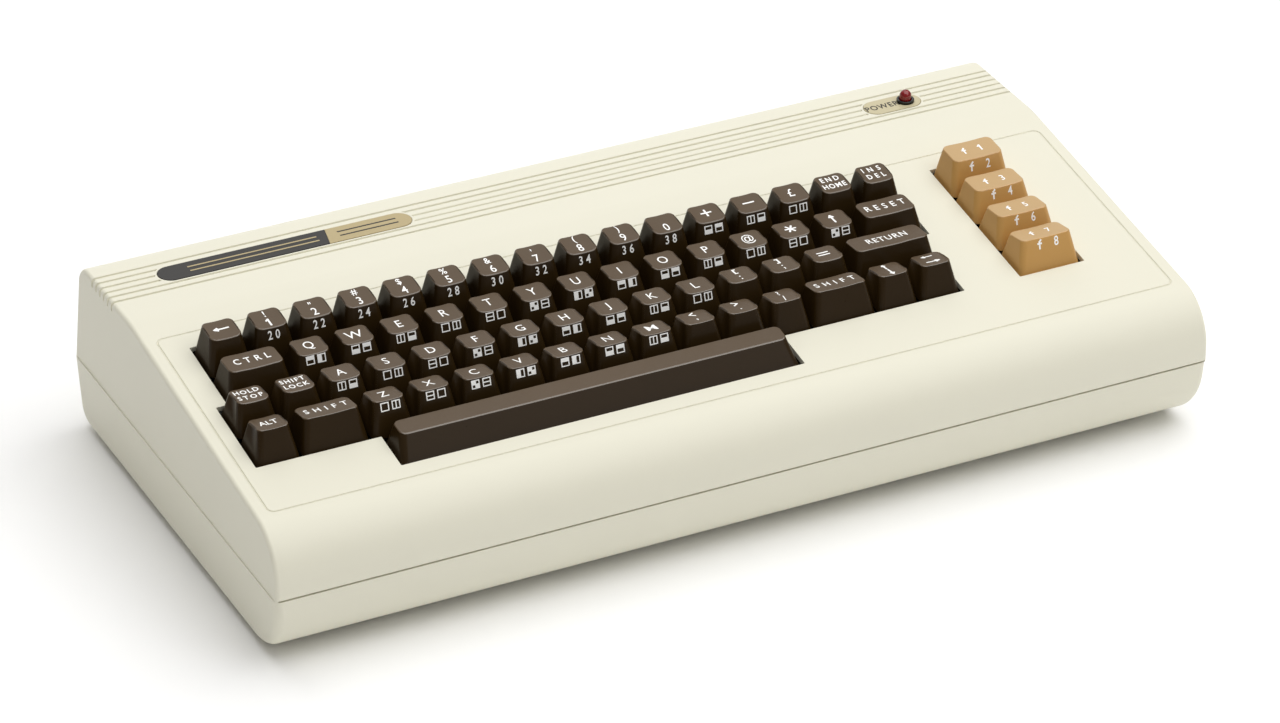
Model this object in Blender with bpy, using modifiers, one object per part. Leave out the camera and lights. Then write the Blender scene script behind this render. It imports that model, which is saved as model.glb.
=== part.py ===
"""Vintage home computer with a full keyboard in a wedge-shaped two-part case.

Metres, +Z up, X to the right, Y to the back. The origin is on the table, under the middle of the case.
"""

from math import cos, pi, radians, sin, sqrt, tan

import bmesh
import bpy
from mathutils import Matrix, Vector

# Case, outside
CASE_WIDTH = 0.4064
CASE_DEPTH = 0.2031
CASE_HEIGHT = 0.0783
FOOT_HEIGHT = 0.0025
SEAM_HEIGHT = 0.0328
FLAT_TOP_DEPTH = 0.0605
PANEL_TILT = radians(8.3)
NOSE_RADIUS = 0.0210
BEND_RADIUS = 0.0400
REAR_TOP_RADIUS = 0.0094
REAR_LEAN = radians(9.5)
SIDE_RADIUS = 0.0036
LOWER_SIDE_RADIUS = 0.0062
SIDE_DRAFT = 0.0008
LOWER_STEP = 0.0010
LOWER_FRONT_RADIUS = 0.0247
LOWER_REAR_RADIUS = 0.0080
LOWER_REAR_LEAN = 0.0012

# Case, inside
CASE_WALL = 0.0025
SEAM_GAP = 0.0003
FIT_GAP = 0.0003
LIP_BITE = 0.0010
LIP_THICKNESS = 0.0016
LIP_HEIGHT = 0.0030
LIP_ROOT = 0.0035
OVERRUN = 0.0100

# Raised panel round the keys, measured along the slope
PANEL_FRONT_INSET = 0.0186
PANEL_SIDE_INSET = 0.0065
PANEL_LENGTH = 0.1120
PANEL_RISE = 0.0004
PANEL_CORNER_RADIUS = 0.0050

# Keys
KEY_PITCH = 0.01905
KEY_GAP = 0.00085
KEY_BLOCK_LEFT = 0.0178
KEY_BLOCK_FRONT = 0.0264
LOWER_ROWS_SHIFT_SHARE = -0.25
OPENING_SIDE_GAP = 0.0005
FUNCTION_COLUMN_LEFT = 0.3443
FUNCTION_KEY_SHARE = 1.5
SPACE_BAR_START_SHARE = 2.47
SPACE_BAR_SHARE = 9.0
SPACE_BAR_DEPTH = 0.0185
KEY_TRAVEL = 0.0040
KEY_SKIRT_DROP = 0.0022
KEY_TOP_WIDTH_RUN = 0.0028
KEY_TOP_DEPTH = 0.0103
KEY_TOP_SHIFT = 0.0034
KEY_EDGE_RADIUS = 0.0016
KEY_WALL = 0.0013
KEY_CEILING = 0.0016
KEY_ROW_HEIGHTS = (0.0114, 0.0090, 0.0086, 0.0092)
KEY_ROW_TILTS = (radians(2), radians(-6), radians(-5), radians(-10))
SPACE_BAR_HEIGHT = 0.0070
SPACE_BAR_TOP_DEPTH = 0.0085
SPACE_BAR_TOP_SHIFT = 0.0040
KEY_WEB_WIDTH = 0.0040
KEY_WEB_THICKNESS = 0.0010
KEY_WEB_REACH = 0.0025
PLUNGER_RADIUS = 0.0032
PLUNGER_SIDES = 4
PLUNGER_BITE = 0.0006
PLUNGER_SHIFT = 0.0021
SPACE_BAR_PLUNGER_SHARES = (-0.38, 0.0, 0.38)

# Keyboard frame and its circuit board, under the panel
FRAME_PLATE = 0.0030
FRAME_CLEARANCE = 0.0005
FRAME_WALL = 0.0030
FRAME_SIDE_MARGIN = 0.0050
FRAME_FRONT_MARGIN = 0.0040
FRAME_REAR_MARGIN = 0.0095
BOARD_THICKNESS = 0.0016
FRAME_POST_RADIUS = 0.0028
FRAME_POST_SPREAD_SHARES = (-0.42, -0.02, 0.42)
FRAME_POST_FRONT_SHARES = (-0.42, 0.16, 0.42)
FRAME_POST_REAR_INSET = 0.0045
FRAME_POST_FRONT_INSET = 0.0125

# Ribs across the rear of the top
GROOVE_COUNT = 6
GROOVE_PITCH = 0.00408
GROOVE_WIDTH = 0.0010
GROOVE_DEPTH = 0.0009
GROOVE_END_DROP = 0.0036
GROOVE_FIRST_INSET = 0.0224

# Badges and power lamp
BADGE_RECESS = 0.0008
BADGE_THICKNESS = 0.0007
BADGE_BORDER = 0.0011
BADGE_WIDTH = 0.0112
BADGE_REAR_INSET = 0.0315
NAME_BADGE_LENGTH = 0.1090
NAME_BADGE_LEFT = 0.0255
POWER_BADGE_LENGTH = 0.0255
POWER_BADGE_RIGHT = 0.0392
LAMP_RIGHT = 0.0457
LAMP_RADIUS = 0.0025
LAMP_BODY = 0.0060
LAMP_RISE = 0.0014
LAMP_LEAD_RADIUS = 0.0004
LAMP_LEAD_LENGTH = 0.0090
LAMP_LEAD_SPREAD = 0.00127
CLIP_WALL = 0.0005
CLIP_FLANGE_RADIUS = 0.0037
CLIP_FLANGE = 0.0008
CLIP_LENGTH = 0.0062

# Main circuit board and what stands on it
BOARD_POST_HEIGHT = 0.0058
BOARD_POST_RADIUS = 0.0040
BOARD_SIDE_MARGIN = 0.0070
BOARD_FRONT_MARGIN = 0.0260
BOARD_REAR_MARGIN = 0.0080
BOARD_POST_SPREAD_SHARES = (-0.46, 0.0, 0.46)
BOARD_POST_DEPTH_SHARES = (-0.44, 0.30)
CHIP_BITE = 0.0002
CHIP_HEIGHT = 0.0046
CHIP_WIDTH = 0.0140
LARGE_CHIP_LENGTH = 0.0520
SMALL_CHIP_LENGTH = 0.0320
MEMORY_CHIP_LENGTH = 0.0220
MEMORY_CHIP_WIDTH = 0.0070
LARGE_CHIP_COUNT = 3
LARGE_CHIP_GAP = 0.0060
SMALL_CHIP_PLACE_SHARES = ((-0.40, -0.05), (-0.30, -0.05), (-0.40, 0.12), (-0.30, 0.12))
MEMORY_CHIP_PLACE_SHARES = ((-0.40, -0.32), (-0.32, -0.32), (-0.24, -0.32), (-0.16, -0.32), (-0.08, -0.32))
SHIELD_PLACE_SHARE = (-0.02, 0.16)
SHIELD_LENGTH = 0.0400
SHIELD_WIDTH = 0.0320
SHIELD_HEIGHT = 0.0140
SHIELD_SHEET = 0.0008
SINK_PLACE_SHARE = (0.36, -0.10)
SINK_LENGTH = 0.0360
SINK_DEPTH = 0.0200
SINK_BASE = 0.0030
SINK_HEIGHT = 0.0140
SINK_FIN = 0.0020
SINK_FIN_COUNT = 6
CAPACITOR_PLACE_SHARE = (0.42, 0.20)
CAPACITOR_RADIUS = 0.0090
CAPACITOR_HEIGHT = 0.0200

# Rear ports. The gap shares run from the left end: what lies before the user port, the cassette port,
# the serial socket, the video socket and the cartridge slot, as shares of the width that they leave free.
REAR_GAP_SHARES = (0.327, 0.267, 0.123, 0.072, 0.087)
PORT_RECESS = 0.0008
CARTRIDGE_WIDTH = 0.1420
EXPANSION_INSET = 0.0330
EXPANSION_LENGTH = 0.0900
EXPANSION_DEPTH = 0.0110
EXPANSION_HEIGHT = 0.0120
EXPANSION_SLOT_LENGTH = 0.0820
EXPANSION_SLOT_HEIGHT = 0.0022
EXPANSION_SLOT_DEPTH = 0.0080
ROUND_SOCKET_SIZE = 0.0160
ROUND_SOCKET_DEPTH = 0.0150
ROUND_SOCKET_BORE = 0.0066
ROUND_SOCKET_BORE_DEPTH = 0.0110
SOCKET_PIN_RADIUS = 0.0007
SOCKET_PIN_LENGTH = 0.0055
SOCKET_PIN_CIRCLE = 0.0036
SOCKET_PIN_BITE = 0.0005
VIDEO_PIN_COUNT = 5
SERIAL_PIN_COUNT = 6
SOCKET_PIN_SPAN = radians(180)
CASSETTE_WIDTH = 0.0340
USER_PORT_WIDTH = 0.0600
EDGE_PORT_BELOW = 0.0042
EDGE_PORT_ABOVE = 0.0070
TONGUE_REACH = 0.0028
TONGUE_MARGIN = 0.0050

# Right-hand ports and switch
CONTROL_REAR_INSET = 0.09655
CONTROL_WIDTH = 0.0310
CONTROL_HEIGHT = 0.0125
CONTROL_DEPTH = 0.0150
CONTROL_CAVITY_WIDTH = 0.0170
CONTROL_CAVITY_HEIGHT = 0.0084
CONTROL_CAVITY_SLANT = 0.0012
CONTROL_CAVITY_DEPTH = 0.0100
CONTROL_PIN_PITCH = 0.00277
CONTROL_PIN_ROWS = 0.00284
CONTROL_PIN_RADIUS = 0.0005
CONTROL_PIN_LENGTH = 0.0048
SWITCH_REAR_INSET = 0.06555
SWITCH_WIDTH = 0.0210
SWITCH_HEIGHT = 0.0150
SWITCH_DEPTH = 0.0160
SWITCH_RIM = 0.0015
SWITCH_CAVITY_DEPTH = 0.0090
ROCKER_HALF_LENGTH = 0.0082
ROCKER_SWING = radians(8)
ROCKER_PIVOT_INSET = 0.0030
ROCKER_END_RISE = 0.0024
ROCKER_MIDDLE_RISE = 0.0012
ROCKER_BACK = 0.0038
ROCKER_BACK_SHARE = 0.8
ROCKER_PIN_RADIUS = 0.0012
ROCKER_PIN_REACH = 0.0008
INLET_REAR_INSET = 0.03755
INLET_PIN_COUNT = 2
INLET_PIN_RADIUS = 0.0010

# Ribbon cable from the keyboard board to the main board
CABLE_CENTRE = 0.0600
CABLE_WIDTH = 0.0400
CABLE_THICKNESS = 0.0012
CABLE_TOP_SLOPE_PLACE = 0.0640
CABLE_SWAY = 0.0120
CABLE_PLUG_HEIGHT = 0.0060
CABLE_PLUG_DEPTH = 0.0070
CABLE_STEPS = 10
CABLE_BITE = 0.0010

# Case screws and feet
SCREW_PLACE_SHARES = (-0.40, 0.0, 0.40)
SCREW_FRONT_INSET = 0.0135
SCREW_POST_RADIUS = 0.0040
SCREW_RADIUS = 0.0014
SCREW_HEAD_RADIUS = 0.0031
SCREW_HEAD_HEIGHT = 0.0020
SCREW_NECK = 0.0060
SCREW_GRIP = 0.0090
FOOT_RADIUS = 0.0070
FOOT_RECESS = 0.0010
FOOT_FRONT_INSET = 0.0340
FOOT_REAR_INSET = 0.0240
FOOT_END_INSET = 0.0330

# Vents in the base
VENT_COUNT = 12
VENT_PITCH = 0.0080
VENT_LENGTH = 0.0360
VENT_WIDTH = 0.0022
VENT_CENTRE_SHARE = (-0.18, 0.02)

# Round shapes
ROUND_SIDES = 20
SMALL_SIDES = 8
PIN_SIDES = 6
ARC_STEP = radians(12)

# Places worked out from the sizes above
HALF_WIDTH = CASE_WIDTH / 2
HALF_DEPTH = CASE_DEPTH / 2
BEND_Y = HALF_DEPTH - FLAT_TOP_DEPTH
LOWER_WALL = CASE_WALL + LIP_BITE
FLOOR_TOP = FOOT_HEIGHT + LOWER_WALL
UPPER_SEAM = SEAM_HEIGHT + SEAM_GAP / 2
LOWER_SEAM = SEAM_HEIGHT - SEAM_GAP / 2


def rear_port_centres():
    """Where each rear port's middle lies along X, from the user port to the cartridge slot."""
    widths = (USER_PORT_WIDTH, CASSETTE_WIDTH, ROUND_SOCKET_SIZE, ROUND_SOCKET_SIZE, CARTRIDGE_WIDTH)
    free = CASE_WIDTH - sum(widths)
    x = -HALF_WIDTH
    for share, width in zip(REAR_GAP_SHARES, widths):
        x += share * free + width
        yield x - width / 2


USER_PORT_CENTRE, CASSETTE_CENTRE, SERIAL_CENTRE, VIDEO_CENTRE, CARTRIDGE_CENTRE = rear_port_centres()
CONTROL_CENTRE = HALF_DEPTH - CONTROL_REAR_INSET
SWITCH_CENTRE = HALF_DEPTH - SWITCH_REAR_INSET
INLET_CENTRE = HALF_DEPTH - INLET_REAR_INSET


def slope_height(y):
    """Height of the sloping panel surface over the table at this depth."""
    return CASE_HEIGHT - (BEND_Y - y) * tan(PANEL_TILT)


PANEL_Y = -HALF_DEPTH + PANEL_FRONT_INSET
PANEL_FRAME = Matrix.Translation((0, PANEL_Y, slope_height(PANEL_Y))) @ Matrix.Rotation(PANEL_TILT, 4, "X")
KEY_LEFT_X = -HALF_WIDTH + KEY_BLOCK_LEFT
LOWER_KEY_LEFT_X = KEY_LEFT_X + LOWER_ROWS_SHIFT_SHARE * KEY_PITCH
FUNCTION_LEFT_X = -HALF_WIDTH + FUNCTION_COLUMN_LEFT
SPACE_BAR_X = KEY_LEFT_X + (SPACE_BAR_START_SHARE + SPACE_BAR_SHARE / 2) * KEY_PITCH
FRAME_TOP = -KEY_SKIRT_DROP - KEY_TRAVEL - FRAME_CLEARANCE
PLUNGER_END = FRAME_TOP - FRAME_PLATE - KEY_TRAVEL + FRAME_CLEARANCE
FRAME_FOOT = PLUNGER_END - KEY_TRAVEL
KEY_BOARD_TOP = FRAME_FOOT - FIT_GAP
KEY_BOARD_FOOT = KEY_BOARD_TOP - BOARD_THICKNESS
MAIN_BOARD_FOOT = FLOOR_TOP + BOARD_POST_HEIGHT + FIT_GAP
MAIN_BOARD_TOP = MAIN_BOARD_FOOT + BOARD_THICKNESS
PORT_FOOT = MAIN_BOARD_TOP + FIT_GAP
MAIN_BOARD_WIDTH = CASE_WIDTH - 2 * BOARD_SIDE_MARGIN
MAIN_BOARD_DEPTH = CASE_DEPTH - BOARD_FRONT_MARGIN - BOARD_REAR_MARGIN
MAIN_BOARD_Y = (BOARD_FRONT_MARGIN - BOARD_REAR_MARGIN) / 2
BADGE_Y = HALF_DEPTH - BADGE_REAR_INSET
BADGE_FOOT = CASE_HEIGHT - BADGE_RECESS + FIT_GAP
BADGE_TOP = BADGE_FOOT + BADGE_THICKNESS
LAMP_X = HALF_WIDTH - LAMP_RIGHT
CLIP_RADIUS = LAMP_RADIUS + FIT_GAP + CLIP_WALL
CLIP_TOP = BADGE_TOP + FIT_GAP + CLIP_FLANGE
KEYBOARD_TOP_S = KEY_BLOCK_FRONT + 4 * KEY_PITCH
SWITCH_FACE_X = HALF_WIDTH - PORT_RECESS
ROCKER_PIVOT_X = SWITCH_FACE_X - ROCKER_PIVOT_INSET
SWITCH_MIDDLE_Z = PORT_FOOT + SWITCH_HEIGHT / 2

# Matrices that stand a flat outline up: its X runs along Y or X of the case, its Y along Z
SIDE_VIEW = Matrix(((0, 0, 1, 0), (1, 0, 0, 0), (0, 1, 0, 0), (0, 0, 0, 1)))
FRONT_VIEW = Matrix.Rotation(pi / 2, 4, "X")
PLAN_VIEW = Matrix.Identity(4)

# Key rows from the back to the front: how far the row starts along the block, and its keys.
# Each entry is a node's name and the widths, in pitches, of the keys that it holds side by side.
KEY_ROWS = (
    (0.0, (
        ("number_keys_1", (1, 1, 1)),
        ("number_keys_2", (1, 1, 1)),
        ("number_keys_3", (1, 1)),
        ("number_keys_4", (1, 1, 1)),
        ("number_keys_5", (1, 1, 1)),
        ("edit_keys", (1, 1)),
    )),
    (0.0, (
        ("control_key", (1.5,)),
        ("upper_keys_1", (1, 1, 1)),
        ("upper_keys_2", (1, 1)),
        ("upper_keys_3", (1, 1, 1)),
        ("upper_keys_4", (1, 1, 1)),
        ("upper_keys_5", (1, 1)),
        ("restore_key", (1.5,)),
    )),
    (LOWER_ROWS_SHIFT_SHARE, (
        ("stop_key", (1,)),
        ("shift_lock_key", (1,)),
        ("home_keys_1", (1, 1, 1)),
        ("home_keys_2", (1, 1, 1)),
        ("home_keys_3", (1, 1, 1)),
        ("home_keys_4", (1, 1, 1)),
        ("return_key", (2,)),
    )),
    (LOWER_ROWS_SHIFT_SHARE, (
        ("mode_key", (1,)),
        ("left_shift_key", (1.5,)),
        ("lower_keys_1", (1, 1, 1)),
        ("lower_keys_2", (1, 1)),
        ("lower_keys_3", (1, 1)),
        ("lower_keys_4", (1, 1, 1)),
        ("right_shift_key", (1.5,)),
        ("cursor_keys", (1, 1)),
    )),
)


def clear_scene():
    for obj in list(bpy.data.objects):
        bpy.data.objects.remove(obj, do_unlink=True)


def add_collection(name, hidden):
    collection = bpy.data.collections.new(name)
    collection.hide_render = hidden
    bpy.context.scene.collection.children.link(collection)
    return collection


clear_scene()
PARTS = add_collection("home_computer", hidden=False)
CUTTERS = add_collection("cutters", hidden=True)


def linear(hex_colour):
    """An sRGB hex colour as linear RGBA."""
    channels = [int(hex_colour[i:i + 2], 16) / 255 for i in (1, 3, 5)]
    return [c / 12.92 if c <= 0.04045 else ((c + 0.055) / 1.055) ** 2.4 for c in channels] + [1.0]


def finish(obj, colour, roughness, metallic=0.0):
    """Gives the object a material of its own and smooth round faces."""
    material = bpy.data.materials.new(obj.name + "_finish")
    material.use_nodes = True
    shader = material.node_tree.nodes["Principled BSDF"]
    shader.inputs["Base Color"].default_value = linear(colour)
    shader.inputs["Roughness"].default_value = roughness
    shader.inputs["Metallic"].default_value = metallic
    material.diffuse_color = linear(colour)
    obj.data.materials.clear()
    obj.data.materials.append(material)
    obj.data.shade_smooth()
    obj.data.set_sharp_from_angle(angle=radians(30))
    return obj


def rounded_outline(corners, radii):
    """The corners of a closed outline, each one with a radius turned into an arc."""
    points = []
    count = len(corners)
    for index, (corner, radius) in enumerate(zip(corners, radii)):
        here = Vector(corner)
        if not radius:
            points.append(tuple(here))
            continue
        before = (Vector(corners[index - 1]) - here).normalized()
        after = (Vector(corners[(index + 1) % count]) - here).normalized()
        opening = before.angle(after)
        reach = radius / tan(opening / 2)
        middle = (before + after).normalized()
        centre = here + middle * (radius / sin(opening / 2))
        start = here + before * reach - centre
        turn = start.angle_signed(here + after * reach - centre)
        steps = max(2, round(abs(turn) / ARC_STEP))
        for step in range(steps + 1):
            points.append(tuple(centre + Matrix.Rotation(-turn * step / steps, 2) @ start))
    return points


def inset_corners(corners, inset):
    """The corners of a convex outline, anticlockwise, with every side moved inwards."""
    sides = []
    for index, corner in enumerate(corners):
        here = Vector(corner)
        along = (Vector(corners[(index + 1) % len(corners)]) - here).normalized()
        inwards = Vector((-along.y, along.x))
        sides.append((here + inwards * inset, along))
    moved = []
    for index, (point, along) in enumerate(sides):
        other, other_along = sides[index - 1]
        across = other_along.x * along.y - other_along.y * along.x
        gap = point - other
        reach = (gap.x * along.y - gap.y * along.x) / across
        moved.append(tuple(other + other_along * reach))
    return moved


def rectangle(low_x, low_y, high_x, high_y):
    return [(low_x, low_y), (high_x, low_y), (high_x, high_y), (low_x, high_y)]


def pill(centre_x, centre_y, length, width):
    """A bar's outline with half-round ends."""
    low = (centre_x - length / 2, centre_y - width / 2)
    high = (centre_x + length / 2, centre_y + width / 2)
    return rounded_outline(rectangle(*low, *high), [width / 2 - FIT_GAP / 2] * 4)


def add_mesh(name, mesh, collection):
    obj = bpy.data.objects.new(name, mesh)
    collection.objects.link(obj)
    if collection is CUTTERS:
        obj.hide_render = True
        obj.display_type = "WIRE"
    return obj


def prism(name, outline, low, high, view=PLAN_VIEW, collection=None):
    """A flat outline drawn out from low to high along the view's third axis."""
    curve = bpy.data.curves.new(name, "CURVE")
    curve.dimensions = "2D"
    curve.fill_mode = "BOTH"
    curve.extrude = (high - low) / 2
    spline = curve.splines.new("POLY")
    spline.points.add(len(outline) - 1)
    for point, (x, y) in zip(spline.points, outline):
        point.co = (x, y, 0, 1)
    spline.use_cyclic_u = True
    drawn = bpy.data.objects.new(name, curve)
    CUTTERS.objects.link(drawn)
    graph = bpy.context.evaluated_depsgraph_get()
    mesh = bpy.data.meshes.new_from_object(drawn.evaluated_get(graph))
    bpy.data.objects.remove(drawn)
    bpy.data.curves.remove(curve)
    mesh.name = name
    shape = bmesh.new()
    shape.from_mesh(mesh)
    bmesh.ops.remove_doubles(shape, verts=shape.verts, dist=FIT_GAP / 100)
    bmesh.ops.dissolve_limit(shape, angle_limit=radians(1), verts=shape.verts, edges=shape.edges)
    bmesh.ops.recalc_face_normals(shape, faces=shape.faces)
    shape.to_mesh(mesh)
    shape.free()
    mesh.transform(view @ Matrix.Translation((0, 0, (low + high) / 2)))
    return add_mesh(name, mesh, collection or CUTTERS)


def add_box(shape, low, high):
    """Adds a box between two corners to a bmesh."""
    low, high = Vector(low), Vector(high)
    size = high - low
    place = Matrix.Translation((low + high) / 2) @ Matrix.Diagonal((*size, 1))
    return bmesh.ops.create_cube(shape, size=1, matrix=place)["verts"]


def add_cylinder(shape, radius, low, high, centre=(0, 0), sides=ROUND_SIDES, view=PLAN_VIEW):
    """Adds a cylinder along the view's third axis to a bmesh."""
    place = view @ Matrix.Translation((centre[0], centre[1], (low + high) / 2))
    turned = place @ Matrix.Rotation(pi / sides, 4, "Z")
    bmesh.ops.create_cone(
        shape, cap_ends=True, segments=sides, radius1=radius, radius2=radius, depth=high - low, matrix=turned
    )


def from_shape(name, shape, collection=None, view=PLAN_VIEW):
    """Turns a bmesh into an object."""
    mesh = bpy.data.meshes.new(name)
    shape.to_mesh(mesh)
    shape.free()
    mesh.transform(view)
    return add_mesh(name, mesh, collection or CUTTERS)


def box(name, low, high, collection=None, view=PLAN_VIEW):
    shape = bmesh.new()
    add_box(shape, low, high)
    return from_shape(name, shape, collection, view)


def cut(obj, cutter):
    modifier = obj.modifiers.new("cut_" + cutter.name, "BOOLEAN")
    modifier.operation = "DIFFERENCE"
    modifier.object = cutter
    return obj


def join(obj, other):
    modifier = obj.modifiers.new("join_" + other.name, "BOOLEAN")
    modifier.operation = "UNION"
    modifier.object = other
    return obj


def round_sides(obj, radius):
    """Rounds the edges where the case's ends meet its drawn outline."""
    bevel = obj.modifiers.new("side_edges", "BEVEL")
    bevel.width = radius
    bevel.segments = 4
    bevel.limit_method = "ANGLE"
    bevel.angle_limit = radians(60)
    bevel.use_clamp_overlap = False
    graph = bpy.context.evaluated_depsgraph_get()
    mesh = bpy.data.meshes.new_from_object(obj.evaluated_get(graph))
    obj.modifiers.clear()
    obj.data = mesh


def draw_in(obj, end_height):
    """Draws the case's sides in towards the top or the base, away from the seam."""
    for vertex in obj.data.vertices:
        away = (vertex.co.z - SEAM_HEIGHT) / (end_height - SEAM_HEIGHT)
        vertex.co.x *= 1 - SIDE_DRAFT / HALF_WIDTH * max(away, 0)


def upper_corners():
    """The top shell's side view, anticlockwise from the front foot, reaching below the seam."""
    foot = SEAM_HEIGHT - OVERRUN
    rear_top_y = HALF_DEPTH - (CASE_HEIGHT - SEAM_HEIGHT) * tan(REAR_LEAN)
    rear_foot_y = HALF_DEPTH + OVERRUN * tan(REAR_LEAN)
    return [
        (-HALF_DEPTH, foot),
        (rear_foot_y, foot),
        (rear_top_y, CASE_HEIGHT),
        (BEND_Y, CASE_HEIGHT),
        (-HALF_DEPTH, slope_height(-HALF_DEPTH)),
    ]


def lower_corners():
    """The bottom shell's side view, anticlockwise from the front of the base, reaching above the seam."""
    head = SEAM_HEIGHT + OVERRUN
    return [
        (-HALF_DEPTH + LOWER_STEP, FOOT_HEIGHT),
        (HALF_DEPTH - LOWER_REAR_LEAN, FOOT_HEIGHT),
        (HALF_DEPTH, head),
        (-HALF_DEPTH + LOWER_STEP, head),
    ]


def upper_outline(inset):
    radii = [0, 0, REAR_TOP_RADIUS - inset, BEND_RADIUS - inset, NOSE_RADIUS - inset]
    return rounded_outline(inset_corners(upper_corners(), inset), radii)


def lower_outline(inset):
    radii = [LOWER_FRONT_RADIUS - inset, LOWER_REAR_RADIUS - inset, 0, 0]
    return rounded_outline(inset_corners(lower_corners(), inset), radii)


def key_cells():
    """Every key as (row, start x, width, node name, place in the node), in the panel's own frame."""
    for row, (start_share, blocks) in enumerate(KEY_ROWS):
        x = KEY_LEFT_X + start_share * KEY_PITCH
        for name, shares in blocks:
            for place, share in enumerate(shares):
                yield row, x, share * KEY_PITCH, name, place
                x += share * KEY_PITCH


def row_middle(row):
    """Distance up the slope to the middle of a key row, row 0 at the back."""
    return KEYBOARD_TOP_S - (row + 1 / 2) * KEY_PITCH


def space_bar_middle():
    return KEY_BLOCK_FRONT - SPACE_BAR_DEPTH / 2


def plunger_places():
    """Middle of every plunger, as (x, distance up the slope)."""
    places = [(x + width / 2, row_middle(row)) for row, x, width, _, _ in key_cells()]
    places += [(FUNCTION_LEFT_X + FUNCTION_KEY_SHARE * KEY_PITCH / 2, row_middle(row)) for row in range(4)]
    length = SPACE_BAR_SHARE * KEY_PITCH
    places += [(SPACE_BAR_X + share * length, space_bar_middle()) for share in SPACE_BAR_PLUNGER_SHARES]
    return [(x, s + PLUNGER_SHIFT) for x, s in places]


def frame_reach():
    """Low and high corner of the keyboard frame, in the panel's own frame."""
    low_x = LOWER_KEY_LEFT_X - FRAME_SIDE_MARGIN
    high_x = FUNCTION_LEFT_X + FUNCTION_KEY_SHARE * KEY_PITCH + FRAME_SIDE_MARGIN
    low_s = space_bar_middle() - SPACE_BAR_DEPTH / 2 - FRAME_FRONT_MARGIN
    return low_x, low_s, high_x, KEYBOARD_TOP_S + FRAME_REAR_MARGIN


def frame_post_places():
    low_x, low_s, high_x, high_s = frame_reach()
    middle, width = (low_x + high_x) / 2, high_x - low_x
    rear = [(middle + share * width, high_s - FRAME_POST_REAR_INSET) for share in FRAME_POST_SPREAD_SHARES]
    front = [(middle + share * width, low_s + FRAME_POST_FRONT_INSET) for share in FRAME_POST_FRONT_SHARES]
    return rear + front


def screw_places():
    return [(share * CASE_WIDTH, -HALF_DEPTH + SCREW_FRONT_INSET) for share in SCREW_PLACE_SHARES]


def keyboard_openings():
    """Cutters for the stepped keyboard opening and the function key opening."""
    right = KEY_LEFT_X + 16 * KEY_PITCH + OPENING_SIDE_GAP
    lower_right = LOWER_KEY_LEFT_X + 16 * KEY_PITCH + OPENING_SIDE_GAP
    left = KEY_LEFT_X - OPENING_SIDE_GAP
    lower_left = LOWER_KEY_LEFT_X - OPENING_SIDE_GAP
    jog = KEY_BLOCK_FRONT + 2 * KEY_PITCH
    bar_half = SPACE_BAR_SHARE * KEY_PITCH / 2 + OPENING_SIDE_GAP
    bar_front = KEY_BLOCK_FRONT - SPACE_BAR_DEPTH
    keys = [
        (lower_left, KEY_BLOCK_FRONT),
        (SPACE_BAR_X - bar_half, KEY_BLOCK_FRONT),
        (SPACE_BAR_X - bar_half, bar_front),
        (SPACE_BAR_X + bar_half, bar_front),
        (SPACE_BAR_X + bar_half, KEY_BLOCK_FRONT),
        (lower_right, KEY_BLOCK_FRONT),
        (lower_right, jog),
        (right, jog),
        (right, KEYBOARD_TOP_S),
        (left, KEYBOARD_TOP_S),
        (left, jog),
        (lower_left, jog),
    ]
    function = rectangle(
        FUNCTION_LEFT_X - OPENING_SIDE_GAP,
        KEY_BLOCK_FRONT,
        FUNCTION_LEFT_X + FUNCTION_KEY_SHARE * KEY_PITCH + OPENING_SIDE_GAP,
        KEYBOARD_TOP_S,
    )
    return [
        prism("keyboard_opening", keys, -OVERRUN, OVERRUN, PANEL_FRAME),
        prism("function_opening", function, -OVERRUN, OVERRUN, PANEL_FRAME),
    ]


def groove_cutter():
    """All the grooves, which bend down over both side edges and stop short of the badges."""
    half = HALF_WIDTH - SIDE_DRAFT
    floor = CASE_HEIGHT - GROOVE_DEPTH
    end = CASE_HEIGHT - GROOVE_END_DROP
    head = CASE_HEIGHT + OVERRUN
    corners = [
        (-half - OVERRUN, end),
        (-half, end),
        (-half, floor),
        (half, floor),
        (half, end),
        (half + OVERRUN, end),
        (half + OVERRUN, head),
        (-half - OVERRUN, head),
    ]
    turn = floor - end - FIT_GAP
    outline = rounded_outline(corners, [0, 0, turn, turn, 0, 0, 0, 0])
    rear = HALF_DEPTH - GROOVE_FIRST_INSET
    grooves = prism("grooves", outline, -rear - GROOVE_WIDTH / 2, -rear + GROOVE_WIDTH / 2, FRONT_VIEW)
    array = grooves.modifiers.new("groove_rows", "ARRAY")
    array.count = GROOVE_COUNT
    array.use_relative_offset = False
    array.use_constant_offset = True
    array.constant_offset_displace = (0, -GROOVE_PITCH, 0)
    for name, centre, length in badge_places():
        land = pill(centre, BADGE_Y, length + 2 * BADGE_BORDER, BADGE_WIDTH + 2 * BADGE_BORDER)
        cut(grooves, prism(name + "_land", land, CASE_HEIGHT - OVERRUN, head + OVERRUN))
    return grooves


def badge_places():
    """Name, middle and length of each badge along X."""
    return [
        ("name_badge", -HALF_WIDTH + NAME_BADGE_LEFT + NAME_BADGE_LENGTH / 2, NAME_BADGE_LENGTH),
        ("power_badge", HALF_WIDTH - POWER_BADGE_RIGHT - POWER_BADGE_LENGTH / 2, POWER_BADGE_LENGTH),
    ]


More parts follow.
